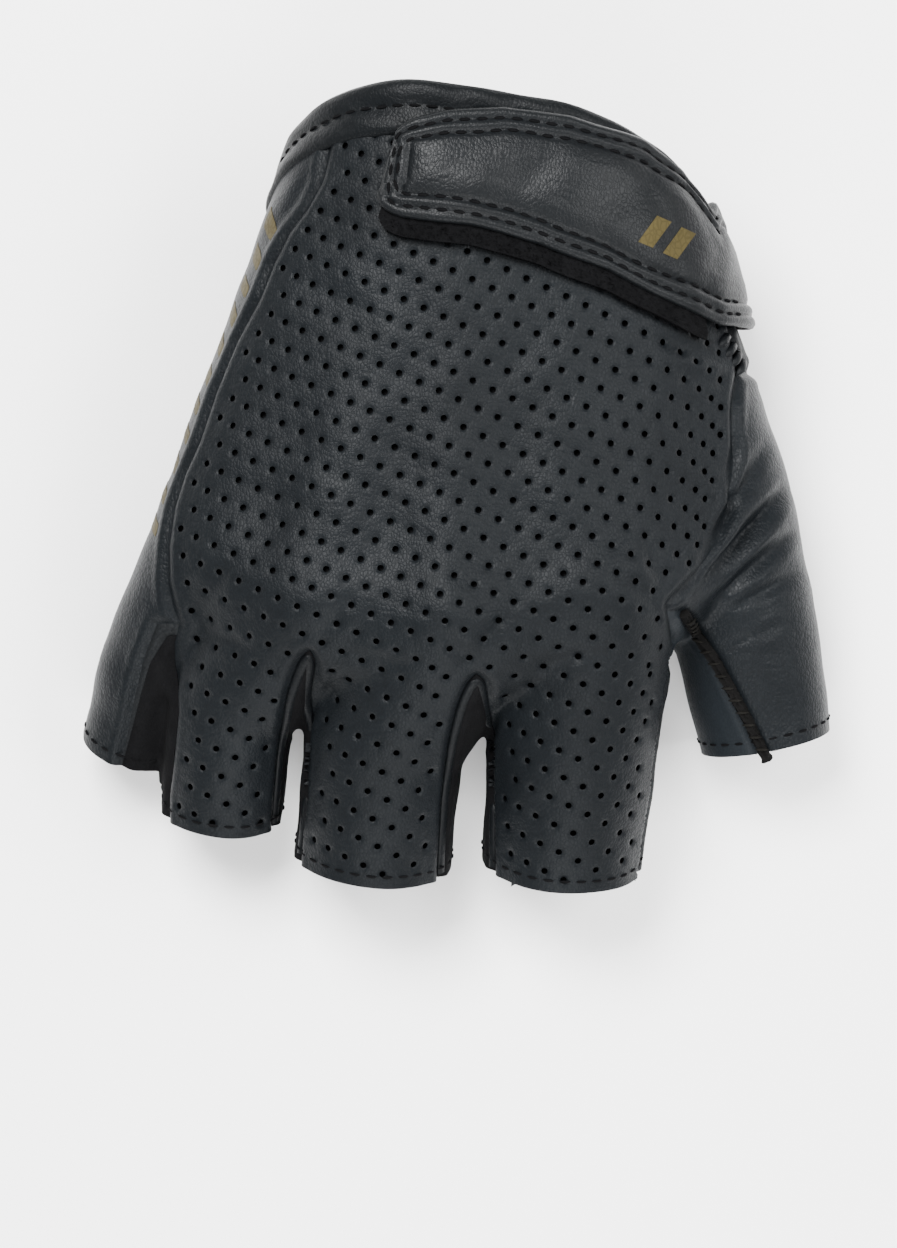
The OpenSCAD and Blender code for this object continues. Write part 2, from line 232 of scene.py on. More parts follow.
def outline_distance(points, outline):
    """Distance to a closed outline in the plane, negative inside it."""
    outline = np.asarray(outline, float)
    nearest = np.full(len(points), 1e9)
    inside = np.zeros(len(points), bool)
    for a, b in zip(outline, np.roll(outline, -1, axis=0)):
        nearest = np.minimum(nearest, segment_distance(points, a, b)[0])
        if a[1] != b[1]:
            spans = (a[1] > points[:, 1]) != (b[1] > points[:, 1])
            x = a[0] + (points[:, 1] - a[1]) * (b[0] - a[0]) / (b[1] - a[1])
            inside ^= spans & (points[:, 0] < x)
    return np.where(inside, -nearest, nearest)


def resample(path, step):
    path = np.asarray(path, float)
    length = np.concatenate([[0], np.cumsum(np.linalg.norm(np.diff(path, axis=0), axis=1))])
    count = max(2, int(round(length[-1] / step)) + 1)
    at = np.linspace(0, length[-1], count)
    return np.stack([np.interp(at, length, path[:, i]) for i in range(path.shape[1])], axis=1)


def rounded(path, step=0.7, turns=3):
    """A smooth curve through the points of a path."""
    path = resample(path, step)
    for _ in range(turns):
        path[1:-1] = (path[:-2] + 2 * path[1:-1] + path[2:]) / 4
    return path


def split(shape, field):
    """Cut a mesh of triangles along field = 0 and give the parts below and above it."""
    points, faces = shape
    return tuple(_below(points, faces, sign * field) for sign in (1, -1))


def _below(points, faces, field):
    inside = (field < 0)[faces]
    count = inside.sum(axis=1)
    one, two = faces[count == 1], faces[count == 2]
    turn_one = np.argmax(inside[count == 1], axis=1)
    turn_two = np.argmin(inside[count == 2], axis=1)
    one = np.take_along_axis(one, (turn_one[:, None] + np.arange(3)) % 3, axis=1)
    two = np.take_along_axis(two, (turn_two[:, None] + np.arange(3)) % 3, axis=1)
    edges = np.concatenate([one[:, [0, 1]], one[:, [0, 2]], two[:, [0, 1]], two[:, [0, 2]]])
    if not len(edges):
        return compact(points, faces[count == 3])
    ends, which = np.unique(np.sort(edges, axis=1), axis=0, return_inverse=True)
    which = which.reshape(-1) + len(points)
    low, high = field[ends[:, 0]], field[ends[:, 1]]
    share = np.clip(low / (low - high), 0.0, 1.0)[:, None]
    cuts = points[ends[:, 0]] * (1 - share) + points[ends[:, 1]] * share
    n, m = len(one), len(two)
    a, b, c, d = which[:n], which[n:2 * n], which[2 * n:2 * n + m], which[2 * n + m:]
    faces = np.concatenate([
        faces[count == 3], np.stack([one[:, 0], a, b], axis=1),
        np.stack([two[:, 1], two[:, 2], d], axis=1), np.stack([two[:, 1], d, c], axis=1)])
    return compact(np.concatenate([points, cuts]), faces)


def compact(points, faces):
    used, index = np.unique(faces, return_inverse=True)
    return points[used], index.reshape(-1, 3)


def merged(*shapes):
    """Join meshes and weld the points they share."""
    points, faces, start = [], [], 0
    for p, f in shapes:
        points.append(p)
        faces.append(f + start)
        start += len(p)
    points, faces = np.concatenate(points), np.concatenate(faces)
    _, first, index = np.unique(np.round(points[:, :3], 3), axis=0, return_index=True,
                                return_inverse=True)
    faces = index.reshape(-1)[faces]
    good = (faces != np.roll(faces, 1, axis=1)).all(axis=1)
    return compact(points[first], faces[good])


def rim_points(faces):
    edges = np.concatenate([faces[:, [0, 1]], faces[:, [1, 2]], faces[:, [2, 0]]])
    pairs, count = np.unique(np.sort(edges, axis=1), axis=0, return_counts=True)
    return pairs[count == 1]


def distance_to(points, targets):
    if not len(targets):
        return np.full(len(points), 1e3)
    tree = KDTree(len(targets))
    for i, p in enumerate(targets):
        tree.insert(p, i)
    tree.balance()
    return np.array([tree.find(p)[2] for p in points])


# ---- the smooth form ------------------------------------------------------------------------

def limb(balls):
    """One limb: balls on its joints wrapped in a hull."""
    deselect()
    for x, y, z, radius in balls:
        bpy.ops.mesh.primitive_ico_sphere_add(
            subdivisions=4, radius=(radius + EASE) * MM, location=(x * MM, y * MM, z * MM))
        WORK["balls"].append(bpy.context.object)
    for ball in WORK["balls"]:
        ball.select_set(True)
    bpy.context.view_layer.objects.active = WORK["balls"][0]
    bpy.ops.object.join()
    joined = bpy.context.object
    WORK["balls"] = []
    bpy.ops.object.mode_set(mode="EDIT")
    bpy.ops.mesh.select_all(action="SELECT")
    bpy.ops.mesh.convex_hull()
    bpy.ops.object.mode_set(mode="OBJECT")
    return joined


def make_form():
    WORK["balls"] = []
    palm = [WRIST_U, WRIST_R, HEEL_U, HEEL_R]
    palm += [KNUCKLE[name] for name in ("index", "middle", "ring", "little")]
    limbs = [limb(palm), limb([HEEL_R, KNUCKLE["thumb"]]),
             limb([WEB[0], WEB[1], KNUCKLE["thumb"], HEEL_R, KNUCKLE["index"]])]
    for knuckle, middle, end, _ in STALLS.values():
        limbs += [limb([knuckle, middle]), limb([middle, end])]
    deselect()
    for part in limbs:
        part.select_set(True)
    bpy.context.view_layer.objects.active = limbs[0]
    bpy.ops.object.join()
    form = bpy.context.object
    form.name = "form"
    remesh = form.modifiers.new("skin", "REMESH")
    remesh.mode = "VOXEL"
    remesh.voxel_size = 0.78 * MM
    soften = form.modifiers.new("soften", "SMOOTH")
    soften.factor = 0.5
    soften.iterations = 14
    apply_modifiers(form)
    only(form)
    bpy.ops.object.transform_apply(location=True, rotation=True, scale=True)
    return form


def axis_gap(points, a, b):
    """Distance from the skin of a tapered limb."""
    distance, share = segment_distance(points, a[:3], b[:3])
    return distance - (a[3] + EASE + (b[3] - a[3]) * share)


def hem_frame(name):
    _, middle, end, share = STALLS[name]
    middle, end = np.array(middle, float), np.array(end, float)
    at = middle + (end - middle) * share
    out = (end - middle)[:3]
    return at[:3], out / np.linalg.norm(out), at[3] + EASE


WRIST_AT = np.array([7.0, 55.0, 26.0])
WRIST_TILT, WRIST_YAW = math.radians(-30), math.radians(-8)
WRIST_OUT = np.array([-math.sin(WRIST_YAW) * math.cos(WRIST_TILT),
                      math.cos(WRIST_YAW) * math.cos(WRIST_TILT), math.sin(WRIST_TILT)])


def past_edges(points):
    """Distance past the nearest hem or the wrist edge, negative inside the glove."""
    gaps = {name: np.minimum(axis_gap(points, s[0], s[1]), axis_gap(points, s[1], s[2]))
            for name, s in STALLS.items()}
    names = list(gaps)
    nearest = np.argmin(np.stack([gaps[n] for n in names]), axis=0)
    past = (points - WRIST_AT) @ WRIST_OUT
    for i, name in enumerate(names):
        at, out, _ = hem_frame(name)
        past = np.where((nearest == i) & (points[:, 1] < -25), (points - at) @ out, past)
    return past


def shape_form(points, normals):
    """Knuckles, tendons, creases and the flat places the glove lies on."""
    x, y, _ = points.T
    lift = np.zeros(len(points))
    top = np.clip(normals[:, 2] * 1.6, 0, 1)
    for kx, ky, height, wide in BUMPS:
        lift += height * top * np.exp(-(((x - kx) / wide) ** 2 + ((y - ky) / (wide * 0.8)) ** 2))
    for start, end in TENDONS:
        d, _ = segment_distance(points[:, :2], start, end)
        lift += 0.35 * top * np.exp(-(d / 4.5) ** 2)
    for start, end in HOLLOWS:
        d, _ = segment_distance(points[:, :2], start, end)
        lift -= 0.5 * top * np.exp(-(d / 5.0) ** 2)
    for x0, y0, x1, y1, depth, wide in CREASES:
        d, share = segment_distance(points[:, :2], (x0, y0), (x1, y1))
        fade = np.sin(np.pi * np.clip(share * 0.9 + 0.05, 0, 1))
        bend = 0.7 * np.sin(share * 9 + x0)
        lift += top * fade * (-depth * np.exp(-((d + bend * 0.3) / wide) ** 2)
                              + 0.55 * depth * np.exp(-((d - 1.9 * wide) / (1.1 * wide)) ** 2))
    wave_x = np.sin(x * 0.31 + 1.7 * np.sin(y * 0.17))
    wave_y = np.sin(y * 0.27 + 1.3 * np.sin(x * 0.13 + 2))
    lift += 0.22 * (wave_x * wave_y)
    points = points + normals * lift[:, None]
    floor = np.interp(points[:, 1], [-26, -6], [0.0, 3.7])
    easing = 1.2
    low = points[:, 2] < floor + easing
    sunk = floor + easing * np.exp((points[:, 2] - floor - easing) / easing)
    points[:, 2] = np.where(low, np.maximum(sunk, floor), points[:, 2])
    return points


def load_form():
    """The form as points, normals and triangles, kept for every panel."""
    form = make_form()
    mesh = form.data
    mesh.calc_loop_triangles()
    count = len(mesh.vertices)
    points = np.empty(count * 3)
    mesh.vertices.foreach_get("co", points)
    points = points.reshape(-1, 3) / MM
    faces = np.empty(len(mesh.loop_triangles) * 3, np.int64)
    mesh.loop_triangles.foreach_get("vertices", faces)
    faces = faces.reshape(-1, 3)
    points = shape_form(points, normals_of(points, faces, 6))
    bpy.data.objects.remove(form)
    normals = normals_of(points, faces, 1)
    broad = normals_of(points, faces, 25)
    WORK["form"] = (np.concatenate([points, normals, broad], axis=1), faces)
    WORK["tree"] = BVHTree.FromPolygons([Vector(p) for p in points], faces.tolist())
    WORK["points"], WORK["faces"], WORK["normals"] = points, faces, normals


def normals_of(points, faces, turns):
    """Point normals, evened out over their neighbours."""
    a, b, c = points[faces[:, 0]], points[faces[:, 1]], points[faces[:, 2]]
    flat = np.cross(b - a, c - a)
    normals = np.zeros_like(points)
    for i in range(3):
        np.add.at(normals, faces[:, i], flat)
    normals /= np.linalg.norm(normals, axis=1)[:, None] + 1e-12
    for _ in range(turns):
        total = normals.copy()
        for i, j in ((0, 1), (1, 2), (2, 0)):
            np.add.at(total, faces[:, i], normals[faces[:, j]])
            np.add.at(total, faces[:, j], normals[faces[:, i]])
        normals = total / (np.linalg.norm(total, axis=1)[:, None] + 1e-12)
    return normals


def cast(origins, directions):
    """Where rays meet the form, with the even normal there."""
    hits, normals = [], []
    for origin, direction in zip(origins, directions):
        hit, _, index, _ = WORK["tree"].ray_cast(Vector(origin), Vector(direction))
        if hit is None:
            hit, _, index, _ = WORK["tree"].find_nearest(Vector(origin))
        corners = WORK["faces"][index]
        weights = 1 / (np.linalg.norm(WORK["points"][corners] - np.array(hit), axis=1) + 1e-6)
        even = (WORK["normals"][corners] * weights[:, None]).sum(axis=0)
        hits.append(np.array(hit))
        normals.append(even / np.linalg.norm(even))
    return np.array(hits), np.array(normals)


def drop(plan):
    """Points of the form straight below points seen from above."""
    plan = np.asarray(plan, float)
    origins = np.column_stack([plan, np.full(len(plan), 120.0)])
    return cast(origins, np.tile([0.0, 0.0, -1.0], (len(plan), 1)))


# ---- materials ------------------------------------------------------------------------------

def group(name, inputs, outputs):
    tree = bpy.data.node_groups.new(name, "ShaderNodeTree")
    for label, kind, value in inputs:
        socket = tree.interface.new_socket(label, in_out="INPUT", socket_type=kind)
        socket.default_value = value
    for label, kind in outputs:
        tree.interface.new_socket(label, in_out="OUTPUT", socket_type=kind)
    return tree, tree.nodes.new("NodeGroupInput"), tree.nodes.new("NodeGroupOutput")


def node(tree, kind, inputs=None, **values):
    made = tree.nodes.new(kind)
    for key, value in values.items():
        setattr(made, key, value)
    for key, value in (inputs or {}).items():
        if hasattr(value, "is_output"):
            tree.links.new(value, made.inputs[key])
        else:
            made.inputs[key].default_value = value
    return made


def maths(tree, operation, a, b=0.0, c=0.0):
    return node(tree, "ShaderNodeMath", {0: a, 1: b, 2: c}, operation=operation).outputs[0]


def leather_grain():
    """Fine pebbles, broader folds and pores; gives a height and a tone. The tone varies in broad random
    patches and is darker in the cracks between the pebbles, as painted shade.
    """
    if "leather grain" in bpy.data.node_groups:
        return bpy.data.node_groups["leather grain"]
    tree, inp, out = group(
        "leather grain",
        [("Pebble", "NodeSocketFloat", 900.0), ("Depth", "NodeSocketFloat", 1.0)],
        [("Height", "NodeSocketFloat"), ("Tone", "NodeSocketFloat")])
    place = node(tree, "ShaderNodeTexCoord").outputs["Object"]
    slanted = node(tree, "ShaderNodeMapping", {"Vector": place, "Rotation": (0.2, 0.1, 0.6),
                                               "Scale": (1.0, 0.72, 1.0)}).outputs[0]
    stir = node(tree, "ShaderNodeTexNoise", {"Vector": slanted, "Scale": 420.0, "Detail": 2.0})
    moved = node(tree, "ShaderNodeVectorMath", {0: stir.outputs["Color"], 1: (0.0011, 0.0011, 0.0011)},
                 operation="MULTIPLY").outputs[0]
    warped = node(tree, "ShaderNodeVectorMath", {0: slanted, 1: moved}, operation="ADD").outputs[0]
    pebbles = node(tree, "ShaderNodeTexVoronoi", {"Vector": warped, "Scale": inp.outputs["Pebble"]},
                   feature="SMOOTH_F1")
    pebbles.inputs["Smoothness"].default_value = 0.55
    cracks = node(tree, "ShaderNodeTexVoronoi", {"Vector": warped, "Scale": inp.outputs["Pebble"]},
                  feature="DISTANCE_TO_EDGE")
    crack = node(tree, "ShaderNodeMapRange", {"Value": cracks.outputs["Distance"], "From Min": 0.0,
                                              "From Max": 0.16}).outputs[0]
    drawn = node(tree, "ShaderNodeMapping", {"Vector": place, "Rotation": (0.1, 0.0, 0.75),
                                             "Scale": (0.35, 1.0, 0.8)}).outputs[0]
    folds = node(tree, "ShaderNodeTexNoise", {"Vector": drawn, "Scale": 330.0, "Detail": 5.0,
                                              "Roughness": 0.62, "Distortion": 0.9})
    broad = node(tree, "ShaderNodeTexNoise", {"Vector": place, "Scale": 38.0, "Detail": 3.0})
    dome = maths(tree, "MULTIPLY", pebbles.outputs["Distance"], -0.35)
    height = maths(tree, "MULTIPLY_ADD", crack, 0.16, dome)
    height = maths(tree, "MULTIPLY_ADD", folds.outputs["Fac"], 1.5, height)
    height = maths(tree, "MULTIPLY", height, inp.outputs["Depth"])
    tone = maths(tree, "MULTIPLY_ADD", broad.outputs["Fac"], 0.6, 0.2)
    # Darker in the cracks between the pebbles: painted shade, on top of the leather's own random tone.
    tone = maths(tree, "MULTIPLY_ADD", crack, 0.25, tone)
    tree.links.new(height, out.inputs["Height"])
    tree.links.new(tone, out.inputs["Tone"])
    return tree


def nap():
    """The short fuzz of suede, tape and thread."""
    if "nap" in bpy.data.node_groups:
        return bpy.data.node_groups["nap"]
    tree, inp, out = group("nap", [("Scale", "NodeSocketFloat", 1800.0)],
                           [("Height", "NodeSocketFloat"), ("Tone", "NodeSocketFloat")])
    place = node(tree, "ShaderNodeTexCoord").outputs["Object"]
    fine = node(tree, "ShaderNodeTexNoise", {"Vector": place, "Scale": inp.outputs["Scale"],
                                             "Detail": 5.0, "Roughness": 0.75})
    clump = node(tree, "ShaderNodeTexNoise", {"Vector": place, "Scale": 260.0, "Detail": 3.0})
    height = maths(tree, "MULTIPLY_ADD", clump.outputs["Fac"], 0.5, fine.outputs["Fac"])
    tree.links.new(height, out.inputs["Height"])
    tone = maths(tree, "MULTIPLY_ADD", clump.outputs["Fac"], 0.5,
                 maths(tree, "MULTIPLY", fine.outputs["Fac"], 0.5))
    tree.links.new(tone, out.inputs["Tone"])
    return tree


def surface(name, dark, light, roughness, pattern, values, bump, specular, spread=0.12):
    """A material whose colour, roughness and relief come from one of the patterns."""
    if name in bpy.data.materials:
        return bpy.data.materials[name]
    material = bpy.data.materials.new(name)
    material.use_nodes = True
    tree = material.node_tree
    shader = tree.nodes["Principled BSDF"]
    look = tree.nodes.new("ShaderNodeGroup")
    look.node_tree = pattern
    for key, value in values.items():
        look.inputs[key].default_value = value
    ramp = node(tree, "ShaderNodeValToRGB", {"Fac": look.outputs["Tone"]})
    ramp.color_ramp.elements[0].position = 0.25
    ramp.color_ramp.elements[0].color = (*dark, 1)
    ramp.color_ramp.elements[1].position = 0.8
    ramp.color_ramp.elements[1].color = (*light, 1)
    tree.links.new(ramp.outputs["Color"], shader.inputs["Base Color"])
    rough = node(tree, "ShaderNodeMapRange", {"Value": look.outputs["Tone"], "From Min": 0.2,
                                              "From Max": 0.9, "To Min": roughness + spread,
                                              "To Max": roughness - spread}).outputs[0]
    tree.links.new(rough, shader.inputs["Roughness"])
    relief = node(tree, "ShaderNodeBump", {"Height": look.outputs["Height"], "Strength": 1.0,
                                           "Distance": bump * MM})
    tree.links.new(relief.outputs[0], shader.inputs["Normal"])
    shader.inputs["Specular IOR Level"].default_value = specular
    return material


LEATHERS = {  # brightness, roughness, share of colour, pebbles, relief, shine
    "punched leather": (1.0, 0.5, 1.0, 1700.0, 0.13, 0.062),
    "plain leather": (1.05, 0.46, 1.0, 1600.0, 0.14, 0.062),
    "strap leather": (1.0, 0.42, 0.7, 1700.0, 0.11, 0.085),
    "palm leather": (1.2, 0.62, 0.6, 1300.0, 0.15, 0.062),
    "inner thumb leather": (1.9, 0.5, 1.0, 1900.0, 0.07, 0.062),
    "binding leather": (0.8, 0.45, 0.8, 1700.0, 0.11, 0.062)}


def leather(name="plain leather"):
    bright, rough, blue, pebble, bump, shine = LEATHERS[name]
    tones = []
    for colour in (settings().leather_dark, settings().leather_light):
        tone = [v * bright for v in colour]
        grey = sum(tone) / 3
        tones.append([v * blue + grey * (1 - blue) for v in tone])
    return surface(name, *tones, rough, leather_grain(), {"Pebble": pebble}, bump, shine)


def fuzz(name, dark, light, scale=1800.0, bump=0.2):
    return surface(name, dark, light, 0.9, nap(), {"Scale": scale}, bump, 0.04, spread=0.05)


def suede():
    return fuzz("soft gusset suede", (0.0016, 0.0016, 0.0018), (0.0042, 0.0042, 0.0046))


def thread(name="sewing thread", dark=(0.001, 0.001, 0.0012), light=(0.0035, 0.0035, 0.0038)):
    return fuzz(name, dark, light, 3000.0, 0.06)


def print_ink():
    light = tuple(settings().print_colour)
    dark = tuple(v * 0.55 for v in light)
    # The print takes the leather grain's tone, so it too is darker in the cracks of the grain: painted
    # shade.
    pattern = {"Pebble": 900.0, "Depth": 0.8}
    return surface("bar print", dark, light, 0.6, leather_grain(), pattern, 0.1, 0.06)


# ---- the panels -----------------------------------------------------------------------------

def plan(shape):
    return shape[0][:, :2]


def cut_panels():
    """Cut the form along its seams into the panels, each as points and triangles."""
    load_form()
    inside, _ = split(WORK["form"], past_edges(WORK["form"][0][:, :3]))
    upper, under = split(inside, -(inside[0][:, 8] + 0.36))
    x, y = plan(upper).T
    index_side = (0.12 - upper[0][:, 8]) * 8 - np.clip(y + 27, 0, 30) - np.clip((26 - x) * 2, 0, 60)
    lowest_back = 15
    field = [outline_distance(plan(upper), BACK), lowest_back - upper[0][:, 2], index_side]
    back, rest = split(upper, np.max(field, axis=0))
    side, rest = split(rest, outline_distance(plan(rest), SIDE))
    low_side, rest = split(rest, outline_distance(plan(rest), EDGE_OF_HAND))
    thumb, rest = split(rest, outline_distance(plan(rest), THUMB_TOP))
    inner_top, outer = split(thumb, outline_distance(plan(thumb), THUMB_INNER))
    gussets = {}
    for low, high in (("little", "ring"), ("ring", "middle"), ("middle", "index")):
        a, b = STALLS[low], STALLS[high]
        between = [a[0][:2], a[1][:2], a[2][:2], b[2][:2], b[1][:2], b[0][:2]]
        field = np.maximum(outline_distance(plan(rest), between), rest[0][:, 1] + 27)
        gussets[low, high], rest = split(rest, field)
    thumb_under, palm = split(under, outline_distance(plan(under), THUMB_UNDER))
    WORK["panels"] = {
        "back": back, "side": merged(side, low_side), "thumb_outer": outer,
        "thumb_inner": merged(inner_top, thumb_under), "palm": merged(palm, rest), **gussets}


def seam_dip(points, rim, depth, wide):
    """Pull the leather in towards its seams, and leave hems and the wrist edge alone."""
    past = past_edges(rim)
    seams = rim[past < -0.05]
    gap = distance_to(points[:, :3], seams)
    fall = depth * np.exp(-(gap / wide) ** 2) - 0.28 * depth * np.exp(-((gap - 2.3 * wide) / wide) ** 2)
    return points[:, :3] - unit(points[:, 3:6]) * fall[:, None]


def panel_object(name, shape, thickness, depth=SEAM_DEPTH):
    points, faces = shape
    rim = points[np.unique(rim_points(faces)), :3]
    placed = seam_dip(points, rim, depth, SEAM_WIDTH)
    obj = new_object(name, placed, faces)
    solidify(obj, thickness)
    return obj


def punch_centres():
    """Holes of the punched leather on a slanted lattice, closing up round the sides."""
    c = settings()
    u, v = np.array([3.5, -1.57]), np.array([-2.6, -3.33])
    i, j = np.meshgrid(np.arange(-60, 60), np.arange(-60, 60))
    flat = i.reshape(-1, 1) * u + j.reshape(-1, 1) * v + np.array([-3.0, -2.0])
    flat *= c.punch_pitch
    s, y = flat.T
    ulnar = [WRIST_U, HEEL_U, KNUCKLE["little"]]
    radial = [WRIST_R, HEEL_R, KNUCKLE["index"]]
    left = np.interp(-y, [-b[1] for b in ulnar], [b[0] for b in ulnar])
    left_r = np.interp(-y, [-b[1] for b in ulnar], [b[3] + EASE for b in ulnar])
    right = np.interp(-y, [-b[1] for b in radial], [b[0] + 3 for b in radial])
    right_r = np.interp(-y, [-b[1] for b in radial], [b[3] + EASE for b in radial])
    for name, low, high in (("ring", -60, -29), ("middle", -29, 3.6), ("index", 3.6, 60)):
        _, middle, end, _ = STALLS[name]
        centre = np.interp(-y, [-middle[1], -end[1]], [middle[0], end[0]])
        radius = np.interp(-y, [-middle[1], -end[1]], [middle[3] + EASE, end[3] + EASE])
        here = (y < -33) & (s >= low) & (s < high)
        left, right = np.where(here, centre, left), np.where(here, centre, right)
        left_r, right_r = np.where(here, radius, left_r), np.where(here, radius, right_r)
    turn_left = np.clip((left - s) / left_r, 0, 1.35)
    turn_right = np.clip((s - right) / right_r, 0, 1.35)
    x = np.where(s < left, left - left_r * np.sin(turn_left),
                 np.where(s > right, right + right_r * np.sin(turn_right), s))
    fine = (turn_left < 1.3) & (turn_right < 1.3)
    return np.column_stack([x, y])[fine]


def punched_back(shape):
    """The back panel made again as a flat cut with its holes, then laid on the form."""
    c = settings()
    points, faces = shape
    rim_edges = rim_points(faces)
    rim_index = np.unique(rim_edges)
    rim = points[rim_index, :2]
    centres = punch_centres()
    centres = centres[outline_distance(centres, BACK) < -2.0]
    centres = centres[distance_to(np.column_stack([centres, np.zeros(len(centres))]),
                                  np.column_stack([rim, np.zeros(len(rim))])) > 1.9]
    hits, normals = drop(centres)
    steepest = 0.36
    on_panel = (distance_to(hits, points[:, :3]) < 1.2) & (unit(normals)[:, 2] > steepest)
    hits, normals = hits[on_panel], normals[on_panel]
    radius = c.punch_width / 2 / MM
    sides = 10
    turn = np.arange(sides) * 2 * math.pi / sides
    across = unit(np.cross(normals, [0.0, 1.0, 0.0]))
    along = np.cross(normals, across)
    rings = []
    for reach, sink, shift in ((radius, 0.30, 0.0), (radius * 1.38, 0.13, math.pi / sides),
                               (radius * 2.0, 0.02, 0.0)):
        ring = (hits[:, None] + reach * (np.cos(turn + shift)[None, :, None] * across[:, None]
                                         + np.sin(turn + shift)[None, :, None] * along[:, None]))
        rings.append((ring, sink))
    keep = distance_to(points[:, :3], hits) > radius * 2.35
    keep[rim_index] = True
    index = np.cumsum(keep) - 1
    flat = [points[keep, :2]]
    sinks = [np.zeros(keep.sum())]
    for ring, sink in rings:
        flat.append(ring.reshape(-1, 3)[:, :2])
        sinks.append(np.full(len(hits) * sides, sink))
    start = keep.sum()
    edges = [tuple(e) for e in index[rim_edges].tolist()]
    for k in range(len(hits)):
        base = start + k * sides
        edges += [(base + i, base + (i + 1) % sides) for i in range(sides)]
    flat = np.concatenate(flat)
    sinks = np.concatenate(sinks)
    out = delaunay_2d_cdt([Vector(p) for p in flat], edges, [], 1, 1e-7)
    verts = np.array([tuple(v) for v in out[0]])
    tris = np.array([f for f in out[2] if len(f) == 3])
    first = [o[0] if o else -1 for o in out[3]]
    kinds = np.array([0 if f < start else 1 + (f - start) // (len(hits) * sides) if f >= 0 else 0
                      for f in first])
    owner = np.array([-1 if f < start else (f - start) % (len(hits) * sides) // sides for f in first])
    inner = (kinds[tris] == 1).all(axis=1) & (owner[tris[:, 0]] == owner[tris[:, 1]]) \
        & (owner[tris[:, 1]] == owner[tris[:, 2]])
    tris = tris[~inner]
    sink = np.array([sinks[f] if f >= 0 else 0.0 for f in first])
    spots, even = drop(verts)
    known = np.array([f if 0 <= f < start else -1 for f in first])
    source = np.flatnonzero(keep)
    on_form = known >= 0
    spots[on_form] = points[source[known[on_form]], :3]
    even[on_form] = points[source[known[on_form]], 3:6]
    spots = spots - even * sink[:, None]
    full = np.concatenate([spots, even, even], axis=1)
    rim_now = points[rim_index, :3]
    placed = seam_dip(full, rim_now, SEAM_DEPTH, SEAM_WIDTH)
    area = np.cross(verts[tris[:, 1]] - verts[tris[:, 0]], verts[tris[:, 2]] - verts[tris[:, 0]])
    tris = np.where((area > 0)[:, None], tris, tris[:, ::-1])
    used = np.unique(tris)
    order = np.zeros(len(placed), int)
    order[used] = np.arange(len(used))
    obj = new_object("back_panel_punched", placed[used], order[tris])
    solidify(obj, c.leather_thickness / MM, angle=50)
    return obj


# ---- stitches, bristles and bands -----------------------------------------------------------

def rice(length, width, height):
    """One plump stitch lying along X, as points and faces."""
    rings, sides = 5, 6
    points, faces = [], []
    for i in range(rings):
        u = -1 + 2 * i / (rings - 1)
        r = max(0.12, math.sqrt(max(0.0, 1 - abs(u) ** 2.6)))
        for j in range(sides):
            a = 2 * math.pi * j / sides
            points.append((u * length / 2, math.cos(a) * r * width / 2,
                           math.sin(a) * r * height / 2 - (1 - r) * height * 0.5))
    for i in range(rings - 1):
        for j in range(sides):
            a, b = i * sides + j, i * sides + (j + 1) % sides
            faces.append((a, b, b + sides, a + sides))
    faces.append(tuple(range(sides))[::-1])
    faces.append(tuple((rings - 1) * sides + j for j in range(sides)))
    return np.array(points), faces


def scatter(name, base, places, along, normals, lift=0.0):
    """Copies of one small shape, joined into a single piece."""
    points, faces = base
    all_points, all_faces = [], []
    for place, run, up in zip(places, along, normals):
        run = run - up * (run @ up)
        run /= np.linalg.norm(run)
        across = np.cross(up, run)
        all_faces += [tuple(v + len(all_points) * len(points) for v in f) for f in faces]
        all_points.append(place + up * lift + points[:, :1] * run + points[:, 1:2] * across
                          + points[:, 2:] * up)
    obj = new_object(name, np.concatenate(all_points), all_faces)
    smooth(obj, 80)
    return obj


def along_path(path, pitch):
    """Evenly spaced places on a path in space with their directions."""
    places = resample(path, pitch)
    return places, unit(np.gradient(places, axis=0))


def nearest_normals(places):
    found = []
    for p in places:
        _, _, index, _ = WORK["tree"].find_nearest(Vector(p))
        n = WORK["normals"][WORK["faces"][index]].sum(axis=0)
        found.append(n / np.linalg.norm(n))
    return np.array(found)


def join(name, parts):
    deselect()
    for part in parts:
        part.select_set(True)
    bpy.context.view_layer.objects.active = parts[0]
    bpy.ops.object.join()
    obj = bpy.context.object
    obj.name = name
    obj.data.name = name
    return obj


def wrist_ring(inset, count=220):
    """The form's outline at a distance in from the wrist edge: places and outward."""
    centre = WRIST_AT - WRIST_OUT * inset
    side = np.cross(WRIST_OUT, [0.0, 0.0, 1.0])
    side /= np.linalg.norm(side)
    up = np.cross(side, WRIST_OUT)
    turn = np.linspace(0, 2 * math.pi, count, endpoint=False)
    rays = np.cos(turn)[:, None] * side + np.sin(turn)[:, None] * up
    return cast(centre + rays * 90, -rays)


def tube_of_rings(name, rings, closed_rows=True):
    """A skin over rings of points, with the first and last ring joined where it is closed."""
    rows, count = len(rings), len(rings[0])
    faces = []
    last = rows if closed_rows else rows - 1
    for i in range(last):
        for j in range(count):
            a, b = i * count + j, i * count + (j + 1) % count
            c, d = ((i + 1) % rows) * count + (j + 1) % count, ((i + 1) % rows) * count + j
            faces.append((a, b, c, d))
    return face_outwards(new_object(name, np.concatenate(rings), faces))


def close_ends(obj):
    only(obj)
    bpy.ops.object.mode_set(mode="EDIT")
    bpy.ops.mesh.select_mode(type="EDGE")
    bpy.ops.mesh.select_all(action="DESELECT")
    bpy.ops.mesh.select_non_manifold()
    bpy.ops.mesh.fill_holes(sides=0)
    bpy.ops.object.mode_set(mode="OBJECT")
    face_outwards(obj)


